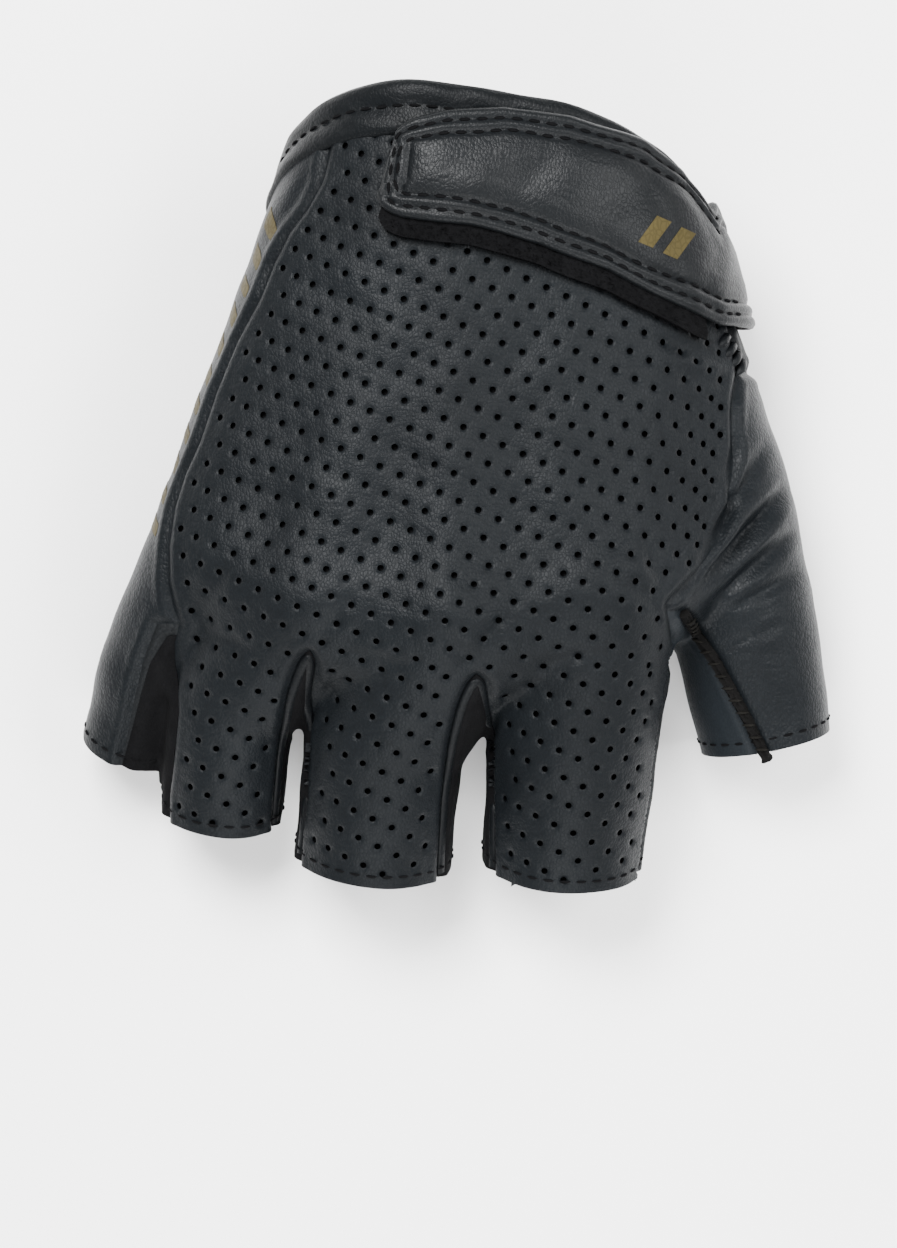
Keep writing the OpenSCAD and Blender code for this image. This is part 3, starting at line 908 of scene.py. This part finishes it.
def hem_places(name, inset, angles):
    """Places round a stall, a little way in from its hem, with the way round and outward."""
    at, out, radius = hem_frame(name)
    side = np.cross(out, [0.0, 0.0, 1.0])
    side /= np.linalg.norm(side)
    up = np.cross(side, out)
    rays = np.cos(angles)[:, None] * up + np.sin(angles)[:, None] * side
    start = at - out * inset + rays * (radius + 2.0)
    hits, normals = cast(start, -rays)
    return hits, np.gradient(hits, axis=0), normals


# ---- the strap ------------------------------------------------------------------------------

def wrist_centre(y):
    """X of the middle of the wrist at a place along the arm."""
    return np.interp(y, [29, 70], [4.5, 6.0])


def strap_edges():
    """Top and foot of the strap against the turn round the wrist, in degrees from the thumb side."""
    rows = []
    for path in (STRAP_TOP, STRAP_FOOT):
        hits, _ = drop(path)
        turn = np.degrees(np.arctan2(hits[:, 2] - WRIST_LEVEL, hits[:, 0] - wrist_centre(hits[:, 1])))
        rows.append((turn, hits[:, 1]))
    (turn_top, y_top), (turn_foot, y_foot) = rows
    turn_top = np.concatenate([turn_top, [12, 0, -15, -36]])
    y_top = np.concatenate([y_top, [48.4, 47.4, 45.5, 42]])
    turn_foot = np.concatenate([turn_foot, [16, 0, -15, -36]])
    y_foot = np.concatenate([y_foot, [28.0, 27.6, 28.6, 30.5]])
    return (turn_top, y_top), (turn_foot, y_foot)


def band_grid(top, foot, start, end, rows, columns, grow_top=0.0, grow_foot=0.0):
    """Places of a band on the form; the first row is the free end."""
    turns = np.linspace(start, end, rows)
    order_t, order_f = np.argsort(top[0]), np.argsort(foot[0])
    y_t = np.interp(turns, top[0][order_t], top[1][order_t]) + grow_top
    y_f = np.interp(turns, foot[0][order_f], foot[1][order_f]) - grow_foot
    centre = wrist_centre((y_t + y_f) / 2)
    reach = np.abs(turns - start) * 0.40
    pinch = np.where(reach < ROUND_END,
                     ROUND_END - np.sqrt(np.maximum(0, ROUND_END ** 2 - (ROUND_END - reach) ** 2)), 0)
    y_t, y_f = y_t - pinch, y_f + pinch
    share = np.linspace(0, 1, columns)
    y = y_f[:, None] + (y_t - y_f)[:, None] * share[None, :]
    slant = 5.0 * (1 - share[None, :]) * np.clip(1 - (start - turns[:, None]) / 40, 0, 1)
    angle = np.radians(turns[:, None] + slant)
    rays = np.stack([np.cos(angle), np.zeros_like(y), np.sin(angle)], axis=-1).reshape(-1, 3)
    middle = np.stack([centre[:, None] + np.zeros_like(y), y, np.full_like(y, WRIST_LEVEL)], axis=-1)
    hits, normals = cast(middle.reshape(-1, 3) + rays * 90, -rays)
    shape = (rows, columns, 3)
    return hits.reshape(shape), normals.reshape(shape)


def edge_reach(grid):
    """Distance of each place of a grid from its two long edges and its free end."""
    along = np.linalg.norm(np.diff(grid, axis=0), axis=2)
    along = np.concatenate([np.zeros((1, grid.shape[1])), np.cumsum(along, axis=0)])
    across = np.linalg.norm(np.diff(grid, axis=1), axis=2)
    across = np.concatenate([np.zeros((grid.shape[0], 1)), np.cumsum(across, axis=1)], axis=1)
    far = across[:, -1:] - across
    return across, far, along


def plate(name, grid, normals, under, over):
    """A closed plate between two heights over the grid, with its rim."""
    rows, columns, _ = grid.shape
    low, high = ((grid + normals * np.broadcast_to(height, (rows, columns))[..., None]).reshape(-1, 3)
                 for height in (under, over))
    total = rows * columns
    faces = []
    for a, b, c, d in quads(rows, columns):
        faces.append((total + a, total + b, total + c, total + d))
        faces.append((d, c, b, a))
    border = ([(0, j) for j in range(columns)] + [(i, columns - 1) for i in range(1, rows)]
              + [(rows - 1, j) for j in range(columns - 2, -1, -1)]
              + [(i, 0) for i in range(rows - 2, 0, -1)])
    border = [i * columns + j for i, j in border]
    for a, b in zip(border, border[1:] + border[:1]):
        faces.append((a, b, total + b, total + a))
    return face_outwards(new_object(name, np.concatenate([low, high]), faces))


def strap_body():
    top, foot = strap_edges()
    rows, columns = 150, 56
    grid, normals = band_grid(top, foot, STRAP_END, STRAP_ROOT, rows, columns)
    low, high, along = edge_reach(grid)
    gap = np.minimum(np.minimum(low, high), along)
    edge = np.sqrt(np.clip(1 - (1 - np.clip(gap / 1.3, 0, 1)) ** 2, 0, 1))
    puff = 0.75 * np.clip((gap - 4.6) / 3.2, 0, 1) ** 0.6 + 0.28 * np.exp(-((gap - 3.1) / 0.7) ** 2)
    seams = 0.36 * sum(np.exp(-((gap - inset) / 0.4) ** 2) for inset in STRAP_ROWS)
    turns = np.linspace(STRAP_END, STRAP_ROOT, rows)[:, None]
    root = np.clip((4 - turns) / 34, 0, 1)
    folds = 0.35 * np.exp(-((turns - 18 - 3 * np.sin(low * 0.35)) / 3.2) ** 2) \
        + 0.22 * np.exp(-((turns - 31 - 3 * np.sin(low * 0.3 + 2)) / 3) ** 2)
    ripple = 0.10 * np.sin(along * 0.42 + 1.4 * np.sin(low * 0.21))
    base = 2.25 * (1 - root) + 0.15 * root
    over = base + 0.75 + 0.75 * edge + (puff - seams - folds + ripple) * edge * (1 - 0.5 * root)
    obj = plate("wrist_strap", grid, normals, base, over)
    smooth(obj, 50)
    WORK["strap"] = (grid, normals, over, turns)
    return obj


def strap_row(inset, start_turn=8.0):
    """Places along one stitch row of the strap, round its free end."""
    grid, normals, over, turns = WORK["strap"]
    rows, columns, _ = grid.shape
    low, high, along = edge_reach(grid)
    top_of = grid + normals * over[..., None]
    keep_rows = [i for i in range(rows) if turns[i, 0] > start_turn and along[i].max() > inset]

    def pick(i, from_low):
        reach = low[i] if from_low else high[i]
        order = reach if from_low else reach[::-1]
        share = np.interp(inset, order, np.arange(columns))
        if not from_low:
            share = columns - 1 - share
        k = min(int(share), columns - 2)
        f = share - k
        return (top_of[i, k] * (1 - f) + top_of[i, k + 1] * f,
                normals[i, k] * (1 - f) + normals[i, k + 1] * f)

    foot = [pick(i, True) for i in keep_rows]
    head = [pick(i, False) for i in keep_rows]
    i = keep_rows[0]
    a = int(np.interp(inset + 1, low[i], np.arange(columns)))
    b = int(np.interp(low[i, -1] - inset - 1, low[i], np.arange(columns)))
    cap = [(top_of[i, k], normals[i, k]) for k in range(a, b, 2)]
    chain = foot[::-1] + cap + head
    return np.array([c[0] for c in chain]), np.array([c[1] for c in chain])


def stitched_chain(name, points, normals, pitch, base, lift):
    length = np.concatenate([[0], np.cumsum(np.linalg.norm(np.diff(points, axis=0), axis=1))])
    at = np.arange(pitch / 2, length[-1], pitch)
    places = np.stack([np.interp(at, length, points[:, k]) for k in range(3)], axis=1)
    ups = unit(np.stack([np.interp(at, length, normals[:, k]) for k in range(3)], axis=1))
    runs = np.gradient(places, axis=0)
    return scatter(name, base, places, runs, ups, lift)


def bristles(name, grid, normals, height, count, seed, length=0.9):
    """Short bent hairs standing on a tape."""
    rng = np.random.default_rng(seed)
    rows, columns, _ = grid.shape
    i = rng.integers(0, rows - 1, count)
    j = rng.integers(0, columns - 1, count)
    f, g = rng.random(count), rng.random(count)
    places = (grid[i, j] * ((1 - f) * (1 - g))[:, None] + grid[i + 1, j] * (f * (1 - g))[:, None]
              + grid[i, j + 1] * ((1 - f) * g)[:, None] + grid[i + 1, j + 1] * (f * g)[:, None])
    ups = normals[i, j]
    places = places + ups * height
    lean = rng.normal(0, 0.55, (count, 3))
    tips = places + (ups + lean) * length * rng.uniform(0.6, 1.2, (count, 1))
    side = unit(np.cross(ups, lean + 0.01))
    other = np.cross(ups, side)
    w = 0.09
    points = np.stack([places + side * w, places - side * w * 0.5 + other * w,
                       places - side * w * 0.5 - other * w, tips], axis=1).reshape(-1, 3)
    base = np.arange(count)[:, None] * 4
    faces = np.concatenate([base + f for f in ([0, 1, 3], [1, 2, 3], [2, 0, 3], [2, 1, 0])])
    return new_object(name, points, faces)


# ---- operators ------------------------------------------------------------------------------

class GloveSettings(bpy.types.PropertyGroup):
    leather_thickness: bpy.props.FloatProperty(
        name="Leather thickness", description="Thickness of the panel leather",
        default=0.0012, min=0.0008, max=0.0018, subtype="DISTANCE", unit="LENGTH")
    punch_width: bpy.props.FloatProperty(
        name="Hole width", description="Width of one punched hole",
        default=0.00118, min=0.0008, max=0.002, subtype="DISTANCE", unit="LENGTH")
    punch_pitch: bpy.props.FloatProperty(
        name="Hole spacing",
        description="Spacing of the punched holes, as a share of the usual spacing",
        default=1.0, min=0.8, max=1.4, subtype="FACTOR")
    # Ends of the leather's colour ramp: the dark end falls in broad random patches of the leather's own
    # tone and, as painted shade, in the cracks of the grain; the light end on the pebble faces and the
    # other patches.
    leather_dark: bpy.props.FloatVectorProperty(
        name="Leather, dark", description="Colour in dark patches of the leather and, as painted shade, in the cracks of its grain",
        default=(0.0019, 0.0023, 0.0028), subtype="COLOR", min=0, max=1)
    leather_light: bpy.props.FloatVectorProperty(
        name="Leather, light", description="Colour on the pebble faces and light patches of the leather",
        default=(0.0040, 0.0049, 0.0058), subtype="COLOR", min=0, max=1)
    print_colour: bpy.props.FloatVectorProperty(
        name="Print", description="Colour of the plain bars printed on the leather",
        default=(0.042, 0.033, 0.0115), subtype="COLOR", min=0, max=1)


class GLOVE_OT_panels(bpy.types.Operator):
    """Cut the hand form into panels and make the punched back, side and palm"""
    bl_idname = "glove.panels"
    bl_label = "Leather panels"

    def execute(self, context):
        cut_panels()
        panels = WORK["panels"]
        thickness = settings().leather_thickness / MM
        back = punched_back(panels["back"])
        finish_piece(back, leather("punched leather"), ["back_panel"])
        # A thin dark sheet a little way under the punched back, not a real piece of the glove: painted
        # shade, so the holes look dark, as with a shaded hand inside, instead of showing the pale
        # floor.
        points, faces = panels["back"]
        gap = 0.55
        placed = points[:, :3] - unit(points[:, 3:6]) * (thickness + gap)
        hole_shade_sheet = new_object("back_hole_shade_sheet", placed, faces)
        solidify(hole_shade_sheet, 0.3)
        finish_piece(hole_shade_sheet, fuzz("hole shade sheet", (0.002, 0.002, 0.0022), (0.005, 0.005, 0.0055)),
                     ["back_panel"])
        side = panel_object("side_panel_plain", panels["side"], thickness)
        finish_piece(side, leather(), ["side_panel"])
        palm = panel_object("palm_panel_plain", panels["palm"], thickness)
        finish_piece(palm, leather("palm leather"), ["palm_panel"])
        return {"FINISHED"}


class GLOVE_OT_gussets(bpy.types.Operator):
    """Make the soft strips between the stalls"""
    bl_idname = "glove.gussets"
    bl_label = "Gussets between the fingers"

    def execute(self, context):
        for low, high in (("little", "ring"), ("ring", "middle"), ("middle", "index")):
            obj = panel_object(f"gusset_{low}_{high}", WORK["panels"][low, high],
                               settings().leather_thickness / MM, depth=0.7)
            finish_piece(obj, suede(), [f"fourchette_{low}_{high}"])
        self.lip("ring_slot_lip", RING_SLOT, "fourchette_ring_middle")
        self.lip("index_slot_lip", INDEX_SLOT, "fourchette_middle_index")
        return {"FINISHED"}

    def lip(self, name, path, cad_node):
        """A rolled edge of leather along one slot."""
        shape = WORK["panels"]["back"]
        rim = shape[0][np.unique(rim_points(shape[1]))]
        fine = resample(path, 0.9)
        apart = np.hypot(rim[:, None, 0] - fine[None, :, 0], rim[:, None, 1] - fine[None, :, 1])
        share = apart.argmin(axis=1)
        on_path = (apart.min(axis=1) < 0.75) & (past_edges(rim[:, :3]) < -0.5)
        bins = [rim[on_path & (share == k)] for k in range(len(fine))]
        run = np.array([b.mean(axis=0) for b in bins if len(b)])
        hits, normals = run[:, :3], run[:, 3:6]
        for _ in range(5):
            normals[1:-1] = (normals[:-2] + normals[1:-1] * 2 + normals[2:]) / 4
            hits[1:-1] = (hits[:-2] + hits[1:-1] * 2 + hits[2:]) / 4
        normals = unit(normals)
        inner = np.cross(unit(np.gradient(hits, axis=0)), normals)
        turn = np.arange(10) * 2 * math.pi / 10
        centre = hits - normals * 0.7 + inner * 0.75
        cloud = np.stack([centre + inner * math.cos(a) * 1.05 + normals * math.sin(a) * 0.75
                          for a in turn], axis=1)
        obj = tube_of_rings(name, list(cloud), closed_rows=False)
        close_ends(obj)
        smooth(obj, 60)
        finish_piece(obj, leather("binding leather"), [cad_node])


class GLOVE_OT_thumb(bpy.types.Operator):
    """Make the outer and inner thumb leather, the raised seam between them and its stitches"""
    bl_idname = "glove.thumb"
    bl_label = "Thumb"

    def execute(self, context):
        thickness = settings().leather_thickness / MM
        outer = panel_object("thumb_outer_plain", WORK["panels"]["thumb_outer"], thickness)
        finish_piece(outer, leather(), ["thumb_outer"])
        inner = panel_object("thumb_inner_smooth", WORK["panels"]["thumb_inner"], thickness)
        finish_piece(inner, leather("inner thumb leather"), ["thumb_inner"])
        self.ridge()
        return {"FINISHED"}

    def ridge(self):
        path = rounded(THUMB_RIDGE, 0.5)
        path = path[:int(len(path) * 0.86)]
        hits, normals = drop(path)
        across = np.cross(normals, unit(np.gradient(hits, axis=0)))
        rng = np.random.default_rng(4)
        rough = rng.normal(0, 0.10, (len(hits), 8))
        rings = []
        for k, (w, h) in enumerate(((-1.0, -0.5), (-0.85, 0.45), (-0.5, 1.15), (-0.05, 0.95),
                                    (0.45, 1.2), (0.85, 0.5), (1.0, -0.5), (0.0, -0.9))):
            rings.append(hits + across * (w + rough[:, k] * 0.9)[:, None]
                         + normals * (h + rough[:, (k + 3) % 8])[:, None])
        cloud = np.stack(rings, axis=1)
        obj = tube_of_rings("thumb_ridge", list(cloud), closed_rows=False)
        close_ends(obj)
        smooth(obj, 60)
        finish_piece(obj, fuzz("raw seam edge", (0.0016, 0.0016, 0.0016), (0.0055, 0.0052, 0.005)),
                     ["thumb_gusset"])
        places, runs = along_path(hits + normals * 1.15, 2.6)
        ups = nearest_normals(places)
        slanted = np.cross(ups, runs) + 0.5 * runs
        stitches = scatter("thumb_seam_stitches", rice(2.5, 0.55, 0.5), places[1:-1], slanted[1:-1],
                           ups[1:-1], 0.05)
        heavy = thread("heavy thread", (0.0022, 0.0021, 0.0019), (0.009, 0.0085, 0.0075))
        finish_piece(stitches, heavy, ["thumb_seam_stitching"])


class GLOVE_OT_binding(bpy.types.Operator):
    """Fold the thin binding over the wrist edge, stitch it, and sew the elastic inside the palm"""
    bl_idname = "glove.binding"
    bl_label = "Wrist binding and elastic"

    def execute(self, context):
        rings, found = [], {}
        for inset, height in BINDING:
            if inset not in found:
                found[inset] = wrist_ring(inset)
            hits, normals = found[inset]
            wave = 0.10 * np.sin(np.arange(len(hits)) * 0.55 + inset) if 0 < height else 0
            rings.append(hits + normals * np.atleast_1d(height + wave)[:, None])
        obj = tube_of_rings("wrist_edge_binding", rings)
        smooth(obj, 50)
        finish_piece(obj, leather("binding leather"), ["wrist_binding"])
        hits, normals = wrist_ring(3.0, 400)
        upper = hits[:, 2] > 22
        order = np.argsort(hits[upper][:, 0])
        row, ups = hits[upper][order], normals[upper][order]
        stitches = stitched_chain("binding_stitches", row + ups * 0.5, ups, 3.1,
                                  rice(2.2, 0.55, 0.45), 0.12)
        finish_piece(stitches, thread(), ["binding_stitching"])
        self.elastic()
        return {"FINISHED"}

    def elastic(self):
        """A ribbed band inside the palm side of the wrist."""
        start, steps, columns, edge = 8, 18, 90, -1.5
        ribs = [(start + i * 0.5, edge - (1.0 if i % 2 else 0.7)) for i in range(1, steps)]
        rings = []
        for inset, depth in [(start, edge), *ribs, (start + steps * 0.5, edge)]:
            hits, normals = wrist_ring(inset, 160)
            low = hits[:, 2] < 15
            first = np.flatnonzero(low & ~np.roll(low, 1))[0]
            pick = (first + np.arange(low.sum())) % len(hits)
            keep = np.linspace(0, len(pick) - 1, columns).astype(int)
            rings.append((hits + normals * depth)[pick][keep])
        band = new_object("wrist_inner_elastic", np.concatenate(rings), quads(len(rings), columns))
        solidify(band, 0.7, offset=0)
        finish_piece(band, fuzz("ribbed elastic", (0.003, 0.003, 0.0033), (0.009, 0.009, 0.0095)),
                     ["wrist_elastic"])


class GLOVE_OT_strap(bpy.types.Operator):
    """Make the strap, its hook tape and its stitches, and the loop patch below it"""
    bl_idname = "glove.strap"
    bl_label = "Wrist strap"

    def execute(self, context):
        strap = strap_body()
        finish_piece(strap, leather("strap leather"),
                     ["strap_leather", "strap_anchor"], body=None)
        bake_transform(strap)
        top, foot = strap_edges()
        self.hook_tape(top, foot)
        rows = []
        for k, inset in enumerate(STRAP_ROWS):
            points, ups = strap_row(inset)
            rows.append(stitched_chain(f"strap_row_{k}", points, ups, 3.1, rice(2.3, 0.6, 0.5), 0.14))
        rows = join("strap_stitches", rows)
        finish_piece(rows, thread(), ["strap_stitching"], body="strap")
        self.loop_patch(top, foot)
        self.mark()
        self.folds()
        return {"FINISHED"}

    def hook_tape(self, top, foot):
        grid, normals = band_grid(top, foot, 124, 20, 110, 30, grow_top=-1.5, grow_foot=3.4)
        low, _, along = edge_reach(grid)
        under, over = 1.35, 2.15
        tape = plate("strap_hook_tape_fuzzy", grid, normals, under,
                     over + 0.2 * np.sin(along * 2.1) * np.sin(low * 2.3))
        hairs = bristles("hook_hairs", grid[:, :5], normals[:, :5], 1.75, 2600, 7, 0.75)
        outward = normals[:, :2] * 0.4 - np.array([0, 0.9, 0])
        rims = bristles("hook_rim_hairs", grid[:, :2], outward, 0.0, 1500, 8, 0.6)
        rims.data.transform(Matrix.Translation((0, 0, 0.0012)))
        below = bristles("hook_under", grid, -normals, -under, 2600, 11, 0.25)
        tape = join("strap_hook_tape_fuzzy", [tape, hairs, rims, below])
        smooth(tape)
        material = fuzz("hook tape", (0.0012, 0.0012, 0.0014), (0.0042, 0.0042, 0.0046), 2400.0, 0.3)
        finish_piece(tape, material, ["strap_hook_tape"], body="strap")

    def loop_patch(self, top, foot):
        grid, normals = band_grid(top, foot, 119, 45, 90, 34, grow_top=-5.5, grow_foot=-1.0)
        low, _, along = edge_reach(grid)
        patch = plate("loop_patch_pile", grid, normals, -0.1,
                      0.7 + 0.12 * np.sin(along * 2.7) * np.sin(low * 3.1))
        pile = bristles("loop_pile", grid, normals, 0.6, 5200, 9, 0.45)
        patch = join("loop_patch_pile", [patch, pile])
        smooth(patch)
        material = fuzz("loop tape", (0.0014, 0.0014, 0.0016), (0.005, 0.005, 0.0054), 2000.0, 0.3)
        finish_piece(patch, material, ["loop_patch"])

    def folds(self):
        """Small folds gathered where the strap leaves the side of the wrist."""
        spots, ups = drop([(47.8, 26.0), (49.0, 24.4), (50.0, 22.9), (50.9, 21.5)])
        lean = np.tile([0.8, 0.45, 0.0], (len(spots), 1))
        folds = scatter("strap_root_folds", rice(5.2, 1.7, 1.8), spots, lean, ups, 0.25)
        finish_piece(folds, leather("binding leather"), ["strap_anchor"])

    def mark(self):
        """Two plain slanted bars."""
        grid, normals, over, _ = WORK["strap"]
        skin = BVHTree.FromPolygons(
            [Vector(p) for p in (grid + normals * over[..., None]).reshape(-1, 3)],
            quads(*grid.shape[:2]))
        bars = []
        for k, shift in enumerate((0.0, STRAP_BAR_STEP)):
            corners = np.array(STRAP_BAR) + (shift, -shift * 0.42)
            u, v = np.meshgrid(np.linspace(0, 1, 7), np.linspace(0, 1, 13))
            flat = (corners[0] * ((1 - u) * (1 - v))[..., None] + corners[1] * (u * (1 - v))[..., None]
                    + corners[2] * (u * v)[..., None] + corners[3] * ((1 - u) * v)[..., None])
            spots, ups = [], []
            for p in flat.reshape(-1, 2):
                hit, normal, _, _ = skin.ray_cast(Vector((p[0], p[1], 120)), Vector((0, 0, -1)))
                spots.append(hit)
                ups.append(normal if normal.z > 0 else -normal)
            spots, ups = (np.array(v).reshape(*u.shape, 3) for v in (spots, ups))
            bars.append(plate(f"bar_{k}", spots, ups, -0.05, 0.07))
        bars = join("strap_bars", bars)
        finish_piece(bars, print_ink(), ["strap_print"], body="strap")


class GLOVE_OT_palm(bpy.types.Operator):
    """Sew the padded patch on the heel of the palm"""
    bl_idname = "glove.palm"
    bl_label = "Padded palm patch"

    def execute(self, context):
        palm = WORK["panels"]["palm"]

        def oval(points, cx, cy, rx, ry):
            return np.hypot((points[:, 0] - cx) / rx, (points[:, 1] - cy) / ry)

        patch, _ = split(palm, oval(palm[0], *PATCH) - 1)
        points, faces = patch
        gap = (1 - oval(points, *PATCH)) * PATCH[3]
        swell = 1.25 * np.clip(gap / 0.8, 0, 1) ** 0.5
        for pad in PADS:
            swell += 2.4 * np.clip(1 - oval(points, *pad) ** 4, 0, 1) ** 0.6
        swell -= 0.35 * np.exp(-((gap - 1.9) / 0.5) ** 2)
        placed = points[:, :3] + unit(points[:, 6:9]) * swell[:, None]
        placed[:, 2] = np.maximum(placed[:, 2], 0.0)
        obj = new_object("palm_heel_patch", placed, faces)
        solidify(obj, 1.0)
        finish_piece(obj, leather("palm leather"),
                     ["palm_patch", "heel_pad", "thumb_base_pad"])
        count = 200
        turn = np.linspace(0, 2 * math.pi, count)
        ring = np.column_stack([PATCH[0] + PATCH_STITCHES[0] * np.cos(turn),
                                PATCH[1] + PATCH_STITCHES[1] * np.sin(turn), np.full(count, -20.0)])
        hits, ups = cast(ring, np.tile([0.0, 0.0, 1.0], (count, 1)))
        stitches = stitched_chain("palm_patch_stitches", hits + ups * 0.95, ups, 3.2,
                                  rice(2.2, 0.55, 0.45), 0.1)
        finish_piece(stitches, thread(), ["palm_patch_stitching"])
        return {"FINISHED"}


class GLOVE_OT_hems(bpy.types.Operator):
    """Stitch the hems of the stalls and print the bars along the side panel"""
    bl_idname = "glove.hems"
    bl_label = "Hem stitches and side print"

    def execute(self, context):
        rows = []
        for name in STALLS:
            _, _, radius = hem_frame(name)
            pitch, reach = 3.0, 2.35
            angles = np.arange(-reach, reach, pitch / radius)
            places, runs, ups = hem_places(name, 2.3, angles)
            rows.append(scatter(f"hem_{name}", rice(2.1, 0.5, 0.42), places, runs, ups, 0.1))
        rows = join("hem_stitches", rows)
        finish_piece(rows, thread(), ["hem_stitching"])
        self.side_print()
        return {"FINISHED"}

    def side_print(self):
        side = WORK["panels"]["side"]
        step, window = 0.25, 25
        seam = resample(ULNAR_SEAM, step)
        padded = np.pad(drop(seam)[0][:, 2], window // 2, mode="edge")
        heights = np.convolve(padded, np.ones(window) / window, mode="valid")
        points = side[0]
        apart = np.hypot(points[:, None, 0] - seam[None, :, 0], points[:, None, 1] - seam[None, :, 1])
        nearest = apart.argmin(axis=1)
        below = heights[nearest] - points[:, 2]
        slanted = nearest * step + below * SIDE_BAR_SLANT
        bars = []
        for k in range(SIDE_BARS):
            along = np.abs(slanted - SIDE_BAR_START - SIDE_BAR_STEP * k) - SIDE_BAR_WIDTH / 2
            field = np.maximum(along, np.abs(below - SIDE_BAR_DEPTH) - SIDE_BAR_LENGTH / 2)
            bars.append(split(side, np.maximum(field, points[:, 1] - SIDE_BAR_TOP))[0])
        points, faces = merged(*bars)
        obj = new_object("side_bars", points[:, :3] + unit(points[:, 3:6]) * 0.08, faces)
        solidify(obj, 0.15)
        finish_piece(obj, print_ink(), ["edge_print"])


class GLOVE_OT_stage(bpy.types.Operator):
    """Set the pale floor, the soft lights and the camera"""
    bl_idname = "glove.stage"
    bl_label = "Floor, lights and camera"

    def execute(self, context):
        deselect()
        bpy.ops.mesh.primitive_plane_add(size=6, location=(0, 0, -0.0004))
        floor = bpy.context.object
        floor.name = "floor"
        material = bpy.data.materials.new("pale floor")
        material.use_nodes = True
        shader = material.node_tree.nodes["Principled BSDF"]
        shader.inputs["Base Color"].default_value = (0.96, 0.96, 0.96, 1)
        shader.inputs["Roughness"].default_value = 0.9
        floor.data.materials.append(material)
        target = Vector((0, 0, 0.03))
        for name, place, size, power in (("key", (-0.28, 0.42, 0.95), 0.5, 40.0),
                                         ("fill", (0.7, 0.1, 0.75), 0.6, 20.0),
                                         ("front", (0.05, -0.8, 0.6), 0.7, 18.0)):
            bpy.ops.object.light_add(type="AREA", location=place)
            light = bpy.context.object
            light.name = name
            light.data.size = size
            light.data.energy = power
            light.rotation_euler = (target - Vector(place)).to_track_quat("-Z", "Y").to_euler()
        world = bpy.context.scene.world or bpy.data.worlds.new("studio")
        bpy.context.scene.world = world
        world.use_nodes = True
        background = world.node_tree.nodes["Background"]
        background.inputs["Color"].default_value = (1, 1, 1, 1)
        background.inputs["Strength"].default_value = 0.6
        self.camera()
        return {"FINISHED"}

    def camera(self):
        bpy.ops.object.camera_add()
        camera = bpy.context.object
        camera.name = "camera"
        camera.data.lens = LENS
        camera.data.sensor_fit = "VERTICAL"
        camera.data.sensor_height = SENSOR
        away = VIEW_HEIGHT * MM * LENS / SENSOR
        direction = Vector((0, -math.cos(VIEW_TILT), math.sin(VIEW_TILT)))
        camera.location = Vector(VIEW_CENTRE) * MM + direction * away
        camera.rotation_euler = (-direction).to_track_quat("-Z", "Y").to_euler()
        camera.data.clip_start = 0.01
        bpy.context.scene.camera = camera


class GLOVE_PT_panel(bpy.types.Panel):
    """Sizes and steps of the glove"""
    bl_idname = "GLOVE_PT_panel"
    bl_label = "Leather glove"
    bl_space_type = "VIEW_3D"
    bl_region_type = "UI"
    bl_category = "Glove"

    def draw(self, context):
        for key in GloveSettings.__annotations__:
            self.layout.prop(context.scene.glove, key)
        for step in STEPS:
            self.layout.operator(step.bl_idname)


STEPS = (GLOVE_OT_stage, GLOVE_OT_panels, GLOVE_OT_gussets, GLOVE_OT_thumb, GLOVE_OT_binding,
         GLOVE_OT_strap, GLOVE_OT_palm, GLOVE_OT_hems)
CLASSES = (GloveSettings,) + STEPS + (GLOVE_PT_panel,)


def register():
    for made in CLASSES:
        bpy.utils.register_class(made)
    bpy.types.Scene.glove = bpy.props.PointerProperty(type=GloveSettings)


def unregister():
    del bpy.types.Scene.glove
    for made in reversed(CLASSES):
        bpy.utils.unregister_class(made)


def main():
    register()
    bpy.ops.glove.stage()
    bpy.ops.glove.panels()
    bpy.ops.glove.gussets()
    bpy.ops.glove.thumb()
    bpy.ops.glove.binding()
    bpy.ops.glove.strap()
    bpy.ops.glove.palm()
    bpy.ops.glove.hems()


if __name__ == "__main__":
    main()
